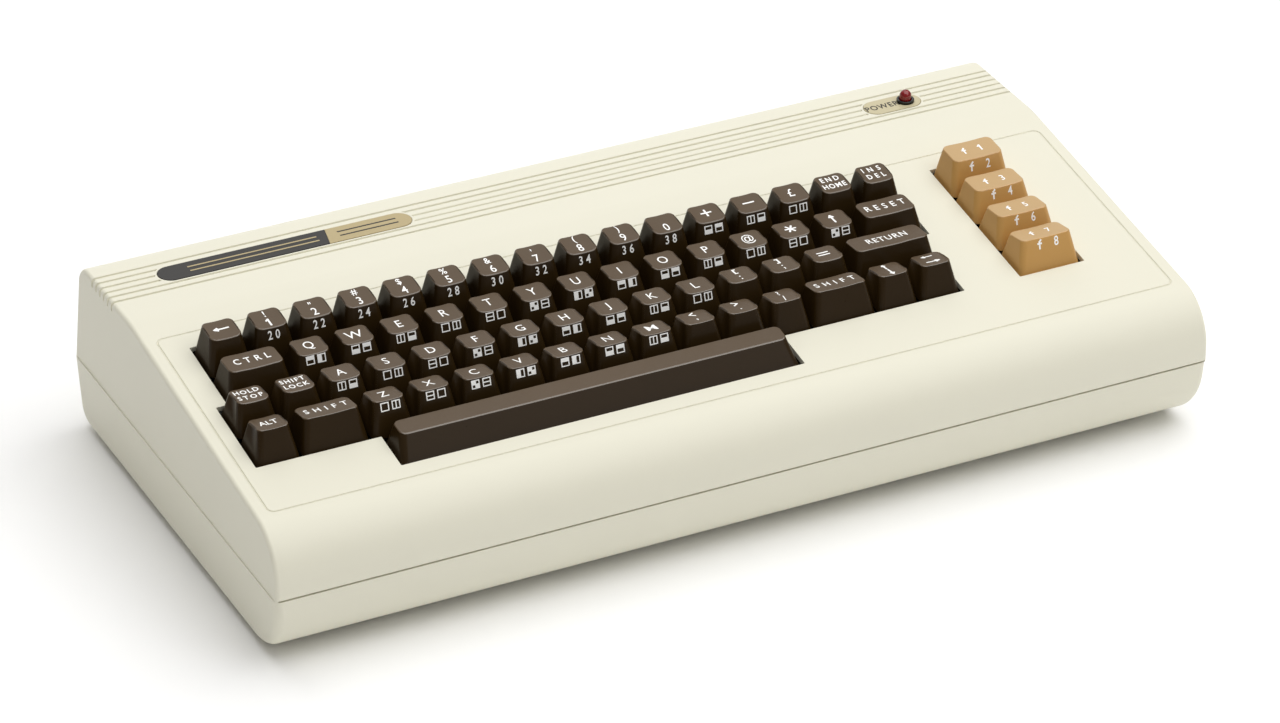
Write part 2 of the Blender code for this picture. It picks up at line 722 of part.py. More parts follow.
def make_top_case():
    case = prism("top_case", upper_outline(0), -HALF_WIDTH, HALF_WIDTH, SIDE_VIEW, PARTS)
    round_sides(case, SIDE_RADIUS)
    draw_in(case, CASE_HEIGHT)
    low_x = -HALF_WIDTH + PANEL_SIDE_INSET
    panel = rounded_outline(rectangle(low_x, 0, -low_x, PANEL_LENGTH), [PANEL_CORNER_RADIUS] * 4)
    join(case, prism("raised_panel", panel, -OVERRUN, PANEL_RISE, PANEL_FRAME))
    below = (HALF_WIDTH + OVERRUN, HALF_DEPTH + OVERRUN)
    cut(case, box("below_seam", (-below[0], -below[1], -OVERRUN), (*below, UPPER_SEAM)))
    cavity_half = HALF_WIDTH - CASE_WALL
    cavity = prism("top_cavity", upper_outline(CASE_WALL), -cavity_half, cavity_half, SIDE_VIEW)
    draw_in(cavity, CASE_HEIGHT)
    posts = bmesh.new()
    for place in frame_post_places():
        add_cylinder(posts, FRAME_POST_RADIUS, FRAME_TOP + FIT_GAP, OVERRUN, place, SMALL_SIDES)
    cut(cavity, from_shape("frame_posts", posts, view=PANEL_FRAME))
    posts = bmesh.new()
    for place in screw_places():
        add_cylinder(posts, SCREW_POST_RADIUS, SEAM_HEIGHT - 2 * OVERRUN, CASE_HEIGHT, place, SMALL_SIDES)
    cut(cavity, from_shape("top_screw_posts", posts))
    cut(case, cavity)
    for opening in keyboard_openings():
        cut(case, opening)
    cut(case, groove_cutter())
    for name, centre, length in badge_places():
        recess = pill(centre, BADGE_Y, length + 2 * FIT_GAP, BADGE_WIDTH + 2 * FIT_GAP)
        cut(case, prism(name + "_recess", recess, CASE_HEIGHT - BADGE_RECESS, CASE_HEIGHT + OVERRUN))
    holes = bmesh.new()
    lamp = (LAMP_X, BADGE_Y)
    add_cylinder(holes, CLIP_RADIUS + FIT_GAP, CASE_HEIGHT - OVERRUN, CASE_HEIGHT + OVERRUN, lamp)
    for place in screw_places():
        pilot = SCREW_RADIUS + FIT_GAP
        add_cylinder(holes, pilot, SEAM_HEIGHT - OVERRUN, SEAM_HEIGHT + SCREW_GRIP + FIT_GAP, place, SMALL_SIDES)
    cut(case, from_shape("top_holes", holes))
    return finish(case, "#EFECDA", 0.45)


def make_badges():
    for name, centre, length in badge_places():
        badge = prism(name, pill(centre, BADGE_Y, length, BADGE_WIDTH), BADGE_FOOT, BADGE_TOP, collection=PARTS)
        if name == "power_badge":
            hole = bmesh.new()
            low, high = BADGE_FOOT - OVERRUN, BADGE_TOP + OVERRUN
            add_cylinder(hole, CLIP_RADIUS + FIT_GAP, low, high, (LAMP_X, BADGE_Y))
            cut(badge, from_shape("badge_hole", hole))
        finish(badge, "#3A3836" if name == "name_badge" else "#CBB887", 0.35, 0.6)


def make_lamp():
    """The power lamp, a dome on a round body with two leads, and the clip that holds it."""
    middle = (LAMP_X, BADGE_Y)
    shape = bmesh.new()
    add_cylinder(shape, CLIP_RADIUS, CLIP_TOP - CLIP_FLANGE - CLIP_LENGTH, CLIP_TOP - CLIP_FLANGE / 2, middle)
    clip = from_shape("lamp_clip", shape, PARTS)
    flange = bmesh.new()
    add_cylinder(flange, CLIP_FLANGE_RADIUS, CLIP_TOP - CLIP_FLANGE, CLIP_TOP, middle)
    join(clip, from_shape("clip_flange", flange))
    bore = bmesh.new()
    add_cylinder(bore, LAMP_RADIUS + FIT_GAP, CLIP_TOP - CLIP_LENGTH - OVERRUN, CLIP_TOP + OVERRUN, middle)
    cut(clip, from_shape("clip_bore", bore))
    finish(clip, "#2A2A28", 0.4)

    profile = bmesh.new()
    foot = CLIP_TOP + LAMP_RISE - LAMP_BODY
    steps = 5
    rise = [profile.verts.new((0, 0, CLIP_TOP + LAMP_RISE + LAMP_RADIUS))]
    for step in range(1, steps + 1):
        angle = pi / 2 * (1 - step / steps)
        place = (LAMP_RADIUS * cos(angle), 0, CLIP_TOP + LAMP_RISE + LAMP_RADIUS * sin(angle))
        rise.append(profile.verts.new(place))
    rise.append(profile.verts.new((LAMP_RADIUS, 0, foot)))
    rise.append(profile.verts.new((0, 0, foot)))
    for start, end in zip(rise, rise[1:]):
        profile.edges.new((start, end))
    lamp = from_shape("power_lamp", profile, PARTS)
    lamp.location = (*middle, 0)
    screw = lamp.modifiers.new("turn", "SCREW")
    screw.steps = ROUND_SIDES
    screw.render_steps = ROUND_SIDES
    screw.use_merge_vertices = True
    screw.merge_threshold = FIT_GAP / 100
    leads = bmesh.new()
    for side in (-1, 1):
        place = (LAMP_X + side * LAMP_LEAD_SPREAD, BADGE_Y)
        add_cylinder(leads, LAMP_LEAD_RADIUS, foot - LAMP_LEAD_LENGTH, foot + LAMP_RADIUS, place, PIN_SIDES)
    join(lamp, from_shape("lamp_leads", leads))
    finish(lamp, "#7A1414", 0.12)


def port_notches():
    """Cutters for the open ports: the whole notch runs from the seam down to just under each socket."""
    shape = bmesh.new()
    head = SEAM_HEIGHT + OVERRUN
    inner_y = HALF_DEPTH - LOWER_WALL - LIP_THICKNESS - OVERRUN / 2
    foot = PORT_FOOT - FIT_GAP
    for centre, width in (
        (CARTRIDGE_CENTRE, CARTRIDGE_WIDTH),
        (VIDEO_CENTRE, ROUND_SOCKET_SIZE + 2 * FIT_GAP),
        (SERIAL_CENTRE, ROUND_SOCKET_SIZE + 2 * FIT_GAP),
    ):
        add_box(shape, (centre - width / 2, inner_y, foot), (centre + width / 2, HALF_DEPTH + OVERRUN, head))
    inner_x = HALF_WIDTH - LOWER_WALL - LIP_THICKNESS - OVERRUN / 2
    for centre, width in (
        (CONTROL_CENTRE, CONTROL_WIDTH),
        (SWITCH_CENTRE, SWITCH_WIDTH),
        (INLET_CENTRE, ROUND_SOCKET_SIZE),
    ):
        half = width / 2 + FIT_GAP
        add_box(shape, (inner_x, centre - half, foot), (HALF_WIDTH + OVERRUN, centre + half, head))
    return from_shape("port_notches", shape)


def edge_port_holes():
    """Cutters for the two holes where plugs push on to the edge of the main board."""
    shape = bmesh.new()
    low_z, high_z = MAIN_BOARD_FOOT - EDGE_PORT_BELOW, MAIN_BOARD_TOP + EDGE_PORT_ABOVE
    low_y = HALF_DEPTH - LOWER_WALL - OVERRUN / 2
    for centre, width in ((CASSETTE_CENTRE, CASSETTE_WIDTH), (USER_PORT_CENTRE, USER_PORT_WIDTH)):
        add_box(shape, (centre - width / 2, low_y, low_z), (centre + width / 2, HALF_DEPTH + OVERRUN, high_z))
    return from_shape("edge_port_holes", shape)


def foot_places():
    x = HALF_WIDTH - FOOT_END_INSET
    front, rear = -HALF_DEPTH + FOOT_FRONT_INSET, HALF_DEPTH - FOOT_REAR_INSET
    return [(-x, front), (x, front), (x, rear), (-x, rear)]


def board_post_places():
    return [
        (across * MAIN_BOARD_WIDTH, MAIN_BOARD_Y + along * MAIN_BOARD_DEPTH)
        for along in BOARD_POST_DEPTH_SHARES
        for across in BOARD_POST_SPREAD_SHARES
    ]


def make_bottom_case():
    case = prism("bottom_case", lower_outline(0), -HALF_WIDTH, HALF_WIDTH, SIDE_VIEW, PARTS)
    round_sides(case, LOWER_SIDE_RADIUS)
    draw_in(case, FOOT_HEIGHT)
    reach = (HALF_WIDTH + OVERRUN, HALF_DEPTH + OVERRUN)
    cut(case, box("above_seam", (-reach[0], -reach[1], LOWER_SEAM), (*reach, CASE_HEIGHT)))
    cavity_half = HALF_WIDTH - LOWER_WALL
    cavity = prism("bottom_cavity", lower_outline(LOWER_WALL), -cavity_half, cavity_half, SIDE_VIEW)
    draw_in(cavity, FOOT_HEIGHT)
    posts = bmesh.new()
    for place in screw_places():
        add_cylinder(posts, SCREW_HEAD_RADIUS + CASE_WALL, FOOT_HEIGHT, LOWER_SEAM + 3 * OVERRUN, place, SMALL_SIDES)
    for place in board_post_places():
        add_cylinder(posts, BOARD_POST_RADIUS, FOOT_HEIGHT, MAIN_BOARD_FOOT - FIT_GAP, place, SMALL_SIDES)
    cut(cavity, from_shape("bottom_posts", posts))
    cut(case, cavity)
    join(case, seam_lip())
    cut(case, port_notches())
    cut(case, edge_port_holes())
    cut(case, base_holes())
    return finish(case, "#EAE6D2", 0.45)


def seam_lip():
    """A thin wall that rises inside the top shell and keeps the two shells in line."""
    outer, inner = CASE_WALL + FIT_GAP, CASE_WALL + FIT_GAP + LIP_THICKNESS
    low, high = SEAM_HEIGHT - LIP_ROOT, SEAM_HEIGHT + LIP_HEIGHT
    front = -HALF_DEPTH + LOWER_STEP
    rear = HALF_DEPTH - LIP_HEIGHT * tan(REAR_LEAN) - CASE_WALL / cos(REAR_LEAN) - FIT_GAP
    lip = box("seam_lip", (-HALF_WIDTH + outer, front + outer, low), (HALF_WIDTH - outer, rear, high))
    space = box(
        "seam_lip_space",
        (-HALF_WIDTH + inner, front + inner, low - OVERRUN),
        (HALF_WIDTH - inner, rear - LIP_THICKNESS, high + OVERRUN),
    )
    return cut(lip, space)


def base_holes():
    """Cutters in the base: screw holes with deep seats for their heads, foot seats and vents."""
    shape = bmesh.new()
    neck = LOWER_SEAM - SCREW_NECK
    for place in screw_places():
        add_cylinder(shape, SCREW_HEAD_RADIUS + FIT_GAP, -OVERRUN, neck, place, SMALL_SIDES)
    for place in foot_places():
        add_cylinder(shape, FOOT_RADIUS + FIT_GAP, -OVERRUN, FOOT_HEIGHT + FOOT_RECESS, place)
    centre_x = VENT_CENTRE_SHARE[0] * CASE_WIDTH
    centre_y = VENT_CENTRE_SHARE[1] * CASE_DEPTH
    for index in range(VENT_COUNT):
        x = centre_x + (index - (VENT_COUNT - 1) / 2) * VENT_PITCH
        low = (x - VENT_WIDTH / 2, centre_y - VENT_LENGTH / 2, -OVERRUN)
        add_box(shape, low, (x + VENT_WIDTH / 2, centre_y + VENT_LENGTH / 2, FLOOR_TOP + FIT_GAP))
    holes = from_shape("base_holes", shape)
    shanks = bmesh.new()
    for place in screw_places():
        add_cylinder(shanks, SCREW_RADIUS + FIT_GAP, FOOT_HEIGHT, SEAM_HEIGHT + OVERRUN, place, SMALL_SIDES)
    return join(holes, from_shape("screw_shank_holes", shanks))


def make_case_screws():
    head = LOWER_SEAM - SCREW_NECK - FIT_GAP
    for index, place in enumerate(screw_places()):
        shape = bmesh.new()
        add_cylinder(shape, SCREW_HEAD_RADIUS, head - SCREW_HEAD_HEIGHT, head, place, 2 * SMALL_SIDES)
        screw = from_shape(f"case_screw_{index + 1}", shape, PARTS)
        shank = bmesh.new()
        add_cylinder(shank, SCREW_RADIUS, head - SCREW_HEAD_HEIGHT / 2, SEAM_HEIGHT + SCREW_GRIP, place, SMALL_SIDES)
        join(screw, from_shape(f"screw_shank_{index + 1}", shank))
        finish(screw, "#8C8C88", 0.35, 1.0)


def make_feet():
    for index, place in enumerate(foot_places()):
        shape = bmesh.new()
        add_cylinder(shape, FOOT_RADIUS, 0, FOOT_HEIGHT + FOOT_RECESS - FIT_GAP, place)
        finish(from_shape(f"foot_{index + 1}", shape, PARTS), "#3B3A38", 0.9)


def make_cap(width, depth, height, tilt, top_depth, top_shift):
    """A hollow key cap: its skirt sits under the panel surface and its top leans with the row."""
    half_x, half_y = (width - KEY_GAP) / 2, (depth - KEY_GAP) / 2
    shape = bmesh.new()
    add_box(shape, (-half_x, -half_y, -KEY_SKIRT_DROP), (half_x, half_y, height))
    top = [vertex for vertex in shape.verts if vertex.co.z > 0]
    narrow = (half_x - KEY_TOP_WIDTH_RUN) / half_x
    bmesh.ops.scale(shape, vec=(narrow, top_depth / (2 * half_y), 1), verts=top)
    bmesh.ops.rotate(shape, cent=(0, 0, height), matrix=Matrix.Rotation(tilt, 3, "X"), verts=top)
    bmesh.ops.translate(shape, vec=(0, top_shift, 0), verts=top)
    upright = [
        edge for edge in shape.edges
        if (edge.verts[0].co.z > 0) != (edge.verts[1].co.z > 0)
    ]
    bmesh.ops.bevel(shape, geom=upright, offset=KEY_EDGE_RADIUS, segments=1, affect="EDGES")
    base = min(shape.faces, key=lambda face: face.calc_center_median().z)
    bmesh.ops.inset_region(shape, faces=[base], thickness=KEY_WALL)
    hollow = bmesh.ops.extrude_discrete_faces(shape, faces=[base])["faces"][0]
    raised = list(hollow.verts)
    ceiling = height - KEY_CEILING
    rise = (ceiling + KEY_SKIRT_DROP) / (height + KEY_SKIRT_DROP)
    inner_x, inner_y = half_x - KEY_WALL, half_y - KEY_WALL
    in_x = (inner_x - KEY_TOP_WIDTH_RUN * rise) / inner_x
    in_y = (inner_y - (half_y - top_depth / 2) * rise) / inner_y
    bmesh.ops.scale(shape, vec=(in_x, in_y, 1), verts=raised)
    bmesh.ops.rotate(shape, cent=(0, 0, -KEY_SKIRT_DROP), matrix=Matrix.Rotation(tilt, 3, "X"), verts=raised)
    bmesh.ops.translate(shape, vec=(0, top_shift * rise, ceiling + KEY_SKIRT_DROP), verts=raised)
    return shape


def make_key_node(name, s, caps, height, tilt, depth, top_depth, top_shift, plungers, colour):
    """One key, or a short run of keys on a hidden web, with the plungers that slide in the frame."""
    middle = (caps[0][0] + caps[-1][0]) / 2
    shape = bmesh.new()
    for x, width in caps:
        cap = make_cap(width, depth, height, tilt, top_depth, top_shift)
        bmesh.ops.translate(cap, vec=(x - middle, 0, 0), verts=cap.verts)
        mesh = bpy.data.meshes.new(name + "_cap")
        cap.to_mesh(mesh)
        cap.free()
        shape.from_mesh(mesh)
        bpy.data.meshes.remove(mesh)
    bmesh.ops.recalc_face_normals(shape, faces=shape.faces)
    node = from_shape(name, shape, PARTS)
    node.matrix_world = PANEL_FRAME @ Matrix.Translation((middle, s, 0))
    inner = bmesh.new()
    for x in plungers:
        place = (x - middle, PLUNGER_SHIFT)
        add_cylinder(inner, PLUNGER_RADIUS, PLUNGER_END, height - KEY_CEILING + PLUNGER_BITE, place, PLUNGER_SIDES)
    for (x, width), (next_x, next_width) in zip(caps, caps[1:]):
        low = x + width / 2 - KEY_WEB_REACH - middle
        high = next_x - next_width / 2 + KEY_WEB_REACH - middle
        foot = -KEY_SKIRT_DROP + FIT_GAP
        add_box(
            inner,
            (low, -KEY_WEB_WIDTH / 2, foot),
            (high, KEY_WEB_WIDTH / 2, foot + KEY_WEB_THICKNESS),
        )
    plunger = from_shape(name + "_plungers", inner)
    plunger.matrix_world = node.matrix_world
    join(node, plunger)
    finish(node, colour, 0.35)


def make_keys():
    blocks = {}
    for row, x, width, name, _ in key_cells():
        blocks.setdefault(name, (row, []))[1].append((x + width / 2, width))
    for name, (row, caps) in blocks.items():
        make_key_node(
            name, row_middle(row), caps, KEY_ROW_HEIGHTS[row], KEY_ROW_TILTS[row], KEY_PITCH,
            KEY_TOP_DEPTH, KEY_TOP_SHIFT, [x for x, _ in caps], "#43382F",
        )
    width = FUNCTION_KEY_SHARE * KEY_PITCH
    for row in range(4):
        centre = FUNCTION_LEFT_X + width / 2
        make_key_node(
            f"function_key_{row + 1}", row_middle(row), [(centre, width)], KEY_ROW_HEIGHTS[row],
            KEY_ROW_TILTS[row], KEY_PITCH, KEY_TOP_DEPTH, KEY_TOP_SHIFT, [centre], "#C29C66",
        )
    length = SPACE_BAR_SHARE * KEY_PITCH
    plungers = [SPACE_BAR_X + share * length for share in SPACE_BAR_PLUNGER_SHARES]
    make_key_node(
        "space_bar", space_bar_middle(), [(SPACE_BAR_X, length)], SPACE_BAR_HEIGHT, 0, SPACE_BAR_DEPTH,
        SPACE_BAR_TOP_DEPTH, SPACE_BAR_TOP_SHIFT, plungers, "#43382F",
    )


def make_keyboard_frame():
    """A tray with a guide hole for every plunger; the switch board closes it from below."""
    low_x, low_s, high_x, high_s = frame_reach()
    frame = box("keyboard_frame", (low_x, low_s, FRAME_FOOT), (high_x, high_s, FRAME_TOP), PARTS, PANEL_FRAME)
    holes = bmesh.new()
    half = PLUNGER_RADIUS * cos(pi / PLUNGER_SIDES) + FIT_GAP
    for x, s in plunger_places():
        add_box(holes, (x - half, s - half, FRAME_FOOT), (x + half, s + half, FRAME_TOP + FIT_GAP))
    cut(frame, from_shape("guide_holes", holes, view=PANEL_FRAME))
    low = (low_x + FRAME_WALL, low_s + FRAME_WALL, FRAME_FOOT - OVERRUN)
    high = (high_x - FRAME_WALL, high_s - FRAME_WALL, FRAME_TOP - FRAME_PLATE)
    cut(frame, box("frame_hollow", low, high, view=PANEL_FRAME))
    finish(frame, "#2B2B2A", 0.5)
    low, high = (low_x, low_s, KEY_BOARD_FOOT), (high_x, high_s, KEY_BOARD_TOP)
    board = box("keyboard_circuit_board", low, high, PARTS, PANEL_FRAME)
    finish(board, "#2F5B33", 0.4)


def make_main_board():
    half_x = MAIN_BOARD_WIDTH / 2
    low_y = MAIN_BOARD_Y - MAIN_BOARD_DEPTH / 2
    high_y = MAIN_BOARD_Y + MAIN_BOARD_DEPTH / 2
    board = box("main_circuit_board", (-half_x, low_y, MAIN_BOARD_FOOT), (half_x, high_y, MAIN_BOARD_TOP), PARTS)
    extras = bmesh.new()
    for centre, width in ((CASSETTE_CENTRE, CASSETTE_WIDTH), (USER_PORT_CENTRE, USER_PORT_WIDTH)):
        half = width / 2 - TONGUE_MARGIN
        low = (centre - half, high_y - TONGUE_REACH, MAIN_BOARD_FOOT)
        add_box(extras, low, (centre + half, high_y + TONGUE_REACH, MAIN_BOARD_TOP))
    join(board, from_shape("edge_tongues", extras))
    chips = bmesh.new()
    small = [on_board(*place) for place in SMALL_CHIP_PLACE_SHARES]
    memory = [on_board(*place) for place in MEMORY_CHIP_PLACE_SHARES]
    for places, length, width in (
        (large_chip_places(), LARGE_CHIP_LENGTH, CHIP_WIDTH),
        (small, SMALL_CHIP_LENGTH, CHIP_WIDTH),
        (memory, MEMORY_CHIP_LENGTH, MEMORY_CHIP_WIDTH),
    ):
        for x, y in places:
            low = (x - length / 2, y - width / 2, MAIN_BOARD_TOP - CHIP_BITE)
            add_box(chips, low, (x + length / 2, y + width / 2, MAIN_BOARD_TOP + CHIP_HEIGHT))
    join(board, from_shape("chips", chips))
    finish(board, "#2F6A3C", 0.4)


def on_board(across, along):
    """A place on the main board from its shares of the board's size."""
    return across * MAIN_BOARD_WIDTH, MAIN_BOARD_Y + along * MAIN_BOARD_DEPTH


def large_chip_places():
    """The row of large chips, which starts beside the heat sink and stays behind the keyboard cable's plug."""
    sink_x, _ = on_board(*SINK_PLACE_SHARE)
    first = sink_x - SINK_LENGTH / 2 - LARGE_CHIP_GAP - LARGE_CHIP_LENGTH / 2
    plug_y = cable_ends()[1].y
    y = plug_y + CABLE_PLUG_DEPTH / 2 + LARGE_CHIP_GAP + CHIP_WIDTH / 2
    return [(first - index * (LARGE_CHIP_LENGTH + LARGE_CHIP_GAP), y) for index in range(LARGE_CHIP_COUNT)]


def make_board_parts():
    """The shield box, the heat sink with its fins and the smoothing capacitor."""
    x, y = on_board(*SHIELD_PLACE_SHARE)
    half_x, half_y = SHIELD_LENGTH / 2, SHIELD_WIDTH / 2
    top = PORT_FOOT + SHIELD_HEIGHT
    shield = box("shield_box", (x - half_x, y - half_y, PORT_FOOT), (x + half_x, y + half_y, top), PARTS)
    low = (x - half_x + SHIELD_SHEET, y - half_y + SHIELD_SHEET, PORT_FOOT - OVERRUN)
    high = (x + half_x - SHIELD_SHEET, y + half_y - SHIELD_SHEET, top - SHIELD_SHEET)
    cut(shield, box("shield_hollow", low, high))
    finish(shield, "#B9BBB8", 0.35, 1.0)

    x, y = on_board(*SINK_PLACE_SHARE)
    gap = (SINK_LENGTH - SINK_FIN_COUNT * SINK_FIN) / (SINK_FIN_COUNT - 1)
    low_x, low_y = x - SINK_LENGTH / 2, y - SINK_DEPTH / 2
    top = PORT_FOOT + SINK_HEIGHT
    sink = box("heat_sink", (low_x, low_y, PORT_FOOT), (low_x + SINK_LENGTH, low_y + SINK_DEPTH, top), PARTS)
    gaps = bmesh.new()
    for index in range(SINK_FIN_COUNT - 1):
        left = low_x + SINK_FIN + index * (SINK_FIN + gap)
        low = (left, low_y - OVERRUN, PORT_FOOT + SINK_BASE)
        add_box(gaps, low, (left + gap, low_y + SINK_DEPTH + OVERRUN, top + OVERRUN))
    cut(sink, from_shape("fin_gaps", gaps))
    finish(sink, "#3C3D3E", 0.4, 0.9)

    shape = bmesh.new()
    place = on_board(*CAPACITOR_PLACE_SHARE)
    add_cylinder(shape, CAPACITOR_RADIUS, PORT_FOOT, PORT_FOOT + CAPACITOR_HEIGHT, place)
    finish(from_shape("capacitor_can", shape, PARTS), "#3E5F8A", 0.35)


def make_expansion_socket():
    """The long slotted socket that a cartridge pushes on to."""
    face = HALF_DEPTH - EXPANSION_INSET
    half, slot_half = EXPANSION_LENGTH / 2, EXPANSION_SLOT_LENGTH / 2
    middle_z = PORT_FOOT + EXPANSION_HEIGHT / 2
    low = (CARTRIDGE_CENTRE - half, face - EXPANSION_DEPTH, PORT_FOOT)
    high = (CARTRIDGE_CENTRE + half, face, PORT_FOOT + EXPANSION_HEIGHT)
    socket = box("expansion_socket", low, high, PARTS)
    slot_z = EXPANSION_SLOT_HEIGHT / 2
    low = (CARTRIDGE_CENTRE - slot_half, face - EXPANSION_SLOT_DEPTH, middle_z - slot_z)
    cut(socket, box("expansion_slot", low, (CARTRIDGE_CENTRE + slot_half, face + OVERRUN, middle_z + slot_z)))
    finish(socket, "#1E4A8C", 0.4)


def make_round_socket(name, place, facing, pins, pin_radius, first_angle, span):
    """A round socket in a square block. Its own frame: the mouth faces +Z, the foot lies towards -Y."""
    half = ROUND_SOCKET_SIZE / 2
    frame = Matrix.Translation(place) @ facing
    socket = box(name, (-half, -half, -ROUND_SOCKET_DEPTH), (half, half, 0), PARTS, frame)
    bore = bmesh.new()
    add_cylinder(bore, ROUND_SOCKET_BORE, -ROUND_SOCKET_BORE_DEPTH, OVERRUN)
    cut(socket, from_shape(name + "_bore", bore, view=frame))
    shape = bmesh.new()
    floor = -ROUND_SOCKET_BORE_DEPTH
    for index in range(pins):
        angle = first_angle + span * index / max(pins - 1, 1)
        centre = (SOCKET_PIN_CIRCLE * cos(angle), SOCKET_PIN_CIRCLE * sin(angle))
        low, high = floor - SOCKET_PIN_BITE, floor + SOCKET_PIN_LENGTH
        add_cylinder(shape, pin_radius, low, high, centre, PIN_SIDES)
    join(socket, from_shape(name + "_pins", shape, view=frame))
    finish(socket, "#1C1C1C", 0.4)


def make_control_port():
    """The nine-pin games port, with its mouth wider at the top, facing the right."""
    face = HALF_WIDTH - PORT_RECESS
    low = (face - CONTROL_DEPTH, CONTROL_CENTRE - CONTROL_WIDTH / 2, PORT_FOOT)
    high = (face, CONTROL_CENTRE + CONTROL_WIDTH / 2, PORT_FOOT + CONTROL_HEIGHT)
    port = box("control_port", low, high, PARTS)
    middle = PORT_FOOT + CONTROL_HEIGHT / 2
    half, rise = CONTROL_CAVITY_WIDTH / 2, CONTROL_CAVITY_HEIGHT / 2
    mouth = [
        (CONTROL_CENTRE - half + CONTROL_CAVITY_SLANT, middle - rise),
        (CONTROL_CENTRE + half - CONTROL_CAVITY_SLANT, middle - rise),
        (CONTROL_CENTRE + half, middle + rise),
        (CONTROL_CENTRE - half, middle + rise),
    ]
    floor = face - CONTROL_CAVITY_DEPTH
    cut(port, prism("control_mouth", mouth, floor, face + OVERRUN, SIDE_VIEW))
    pins = bmesh.new()
    for count, level in ((4, -1), (5, 1)):
        for index in range(count):
            y = CONTROL_CENTRE + (index - (count - 1) / 2) * CONTROL_PIN_PITCH
            centre = (y, middle + level * CONTROL_PIN_ROWS / 2)
            low_x, high_x = floor - SOCKET_PIN_BITE, floor + CONTROL_PIN_LENGTH
            add_cylinder(pins, CONTROL_PIN_RADIUS, low_x, high_x, centre, PIN_SIDES, SIDE_VIEW)
    join(port, from_shape("control_pins", pins))
    finish(port, "#232323", 0.4)


def make_power_switch():
    """The switch housing and the rocker that tips about an upright pin in it."""
    low = (SWITCH_FACE_X - SWITCH_DEPTH, SWITCH_CENTRE - SWITCH_WIDTH / 2, PORT_FOOT)
    high = (SWITCH_FACE_X, SWITCH_CENTRE + SWITCH_WIDTH / 2, PORT_FOOT + SWITCH_HEIGHT)
    body = box("power_switch_body", low, high, PARTS)
    low = (SWITCH_FACE_X - SWITCH_CAVITY_DEPTH, low[1] + SWITCH_RIM, low[2] + SWITCH_RIM)
    high = (SWITCH_FACE_X + OVERRUN, high[1] - SWITCH_RIM, high[2] - SWITCH_RIM)
    cut(body, box("switch_cavity", low, high))
    pivot = (ROCKER_PIVOT_X, SWITCH_CENTRE)
    seat_half = (high[2] - low[2]) / 2
    seats = bmesh.new()
    reach = seat_half + ROCKER_PIN_REACH + FIT_GAP
    seat_radius = ROCKER_PIN_RADIUS + FIT_GAP
    add_cylinder(seats, seat_radius, SWITCH_MIDDLE_Z - reach, SWITCH_MIDDLE_Z + reach, pivot, 2 * SMALL_SIDES)
    cut(body, from_shape("pivot_seats", seats))
    finish(body, "#1B1B1B", 0.4)
    outline = [
        (-ROCKER_BACK, -ROCKER_HALF_LENGTH * ROCKER_BACK_SHARE),
        (ROCKER_END_RISE, -ROCKER_HALF_LENGTH),
        (ROCKER_MIDDLE_RISE, 0),
        (ROCKER_END_RISE, ROCKER_HALF_LENGTH),
        (-ROCKER_BACK, ROCKER_HALF_LENGTH * ROCKER_BACK_SHARE),
    ]
    half = seat_half - FIT_GAP
    rocker = prism("power_switch_rocker", outline, -half, half, collection=PARTS)
    place = Matrix.Translation((*pivot, SWITCH_MIDDLE_Z)) @ Matrix.Rotation(-ROCKER_SWING, 4, "Z")
    rocker.matrix_world = place
    pin = bmesh.new()
    pin_reach = seat_half + ROCKER_PIN_REACH
    add_cylinder(pin, ROCKER_PIN_RADIUS, -pin_reach, pin_reach, sides=2 * SMALL_SIDES)
    pin = from_shape("rocker_pin", pin)
    pin.matrix_world = place
    join(rocker, pin)
    finish(rocker, "#141414", 0.3)


def cable_ends():
    """Where the ribbon leaves its upper plug and where it enters its lower plug."""
    start = PANEL_FRAME @ Vector((0, CABLE_TOP_SLOPE_PLACE, KEY_BOARD_FOOT - FIT_GAP - CABLE_PLUG_HEIGHT))
    return start, Vector((0, start.y - CABLE_SWAY, PORT_FOOT + CABLE_PLUG_HEIGHT))


def make_keyboard_cable():
    """A ribbon with a plug at each end, from under the keyboard board to the main board."""
    start, end = cable_ends()
    near, far = [], []
    for step in range(CABLE_STEPS + 1):
        share = step / CABLE_STEPS
        ease = (1 - cos(pi * share)) / 2
        y = start.y + (end.y - start.y) * ease
        z = start.z + CABLE_BITE + (end.z - start.z - 2 * CABLE_BITE) * share
        slope = Vector(((end.y - start.y) * pi / 2 * sin(pi * share), end.z - start.z)).normalized()
        across = Vector((slope.y, -slope.x)) * CABLE_THICKNESS / 2
        near.append((y + across.x, z + across.y))
        far.append((y - across.x, z - across.y))
    low_x, high_x = CABLE_CENTRE - CABLE_WIDTH / 2, CABLE_CENTRE + CABLE_WIDTH / 2
    cable = prism("keyboard_cable", near + far[::-1], low_x, high_x, SIDE_VIEW, PARTS)
    half = CABLE_PLUG_DEPTH / 2
    plug_low_x, plug_high_x = low_x - CABLE_BITE, high_x + CABLE_BITE
    lower = box("lower_plug", (plug_low_x, end.y - half, PORT_FOOT), (plug_high_x, end.y + half, end.z))
    low_s = CABLE_TOP_SLOPE_PLACE - half
    foot = KEY_BOARD_FOOT - FIT_GAP - CABLE_PLUG_HEIGHT
    high = (plug_high_x, low_s + CABLE_PLUG_DEPTH, foot + CABLE_PLUG_HEIGHT)
    upper = box("upper_plug", (plug_low_x, low_s, foot), high, view=PANEL_FRAME)
    join(cable, lower)
    join(cable, upper)
    finish(cable, "#9A9A96", 0.5)


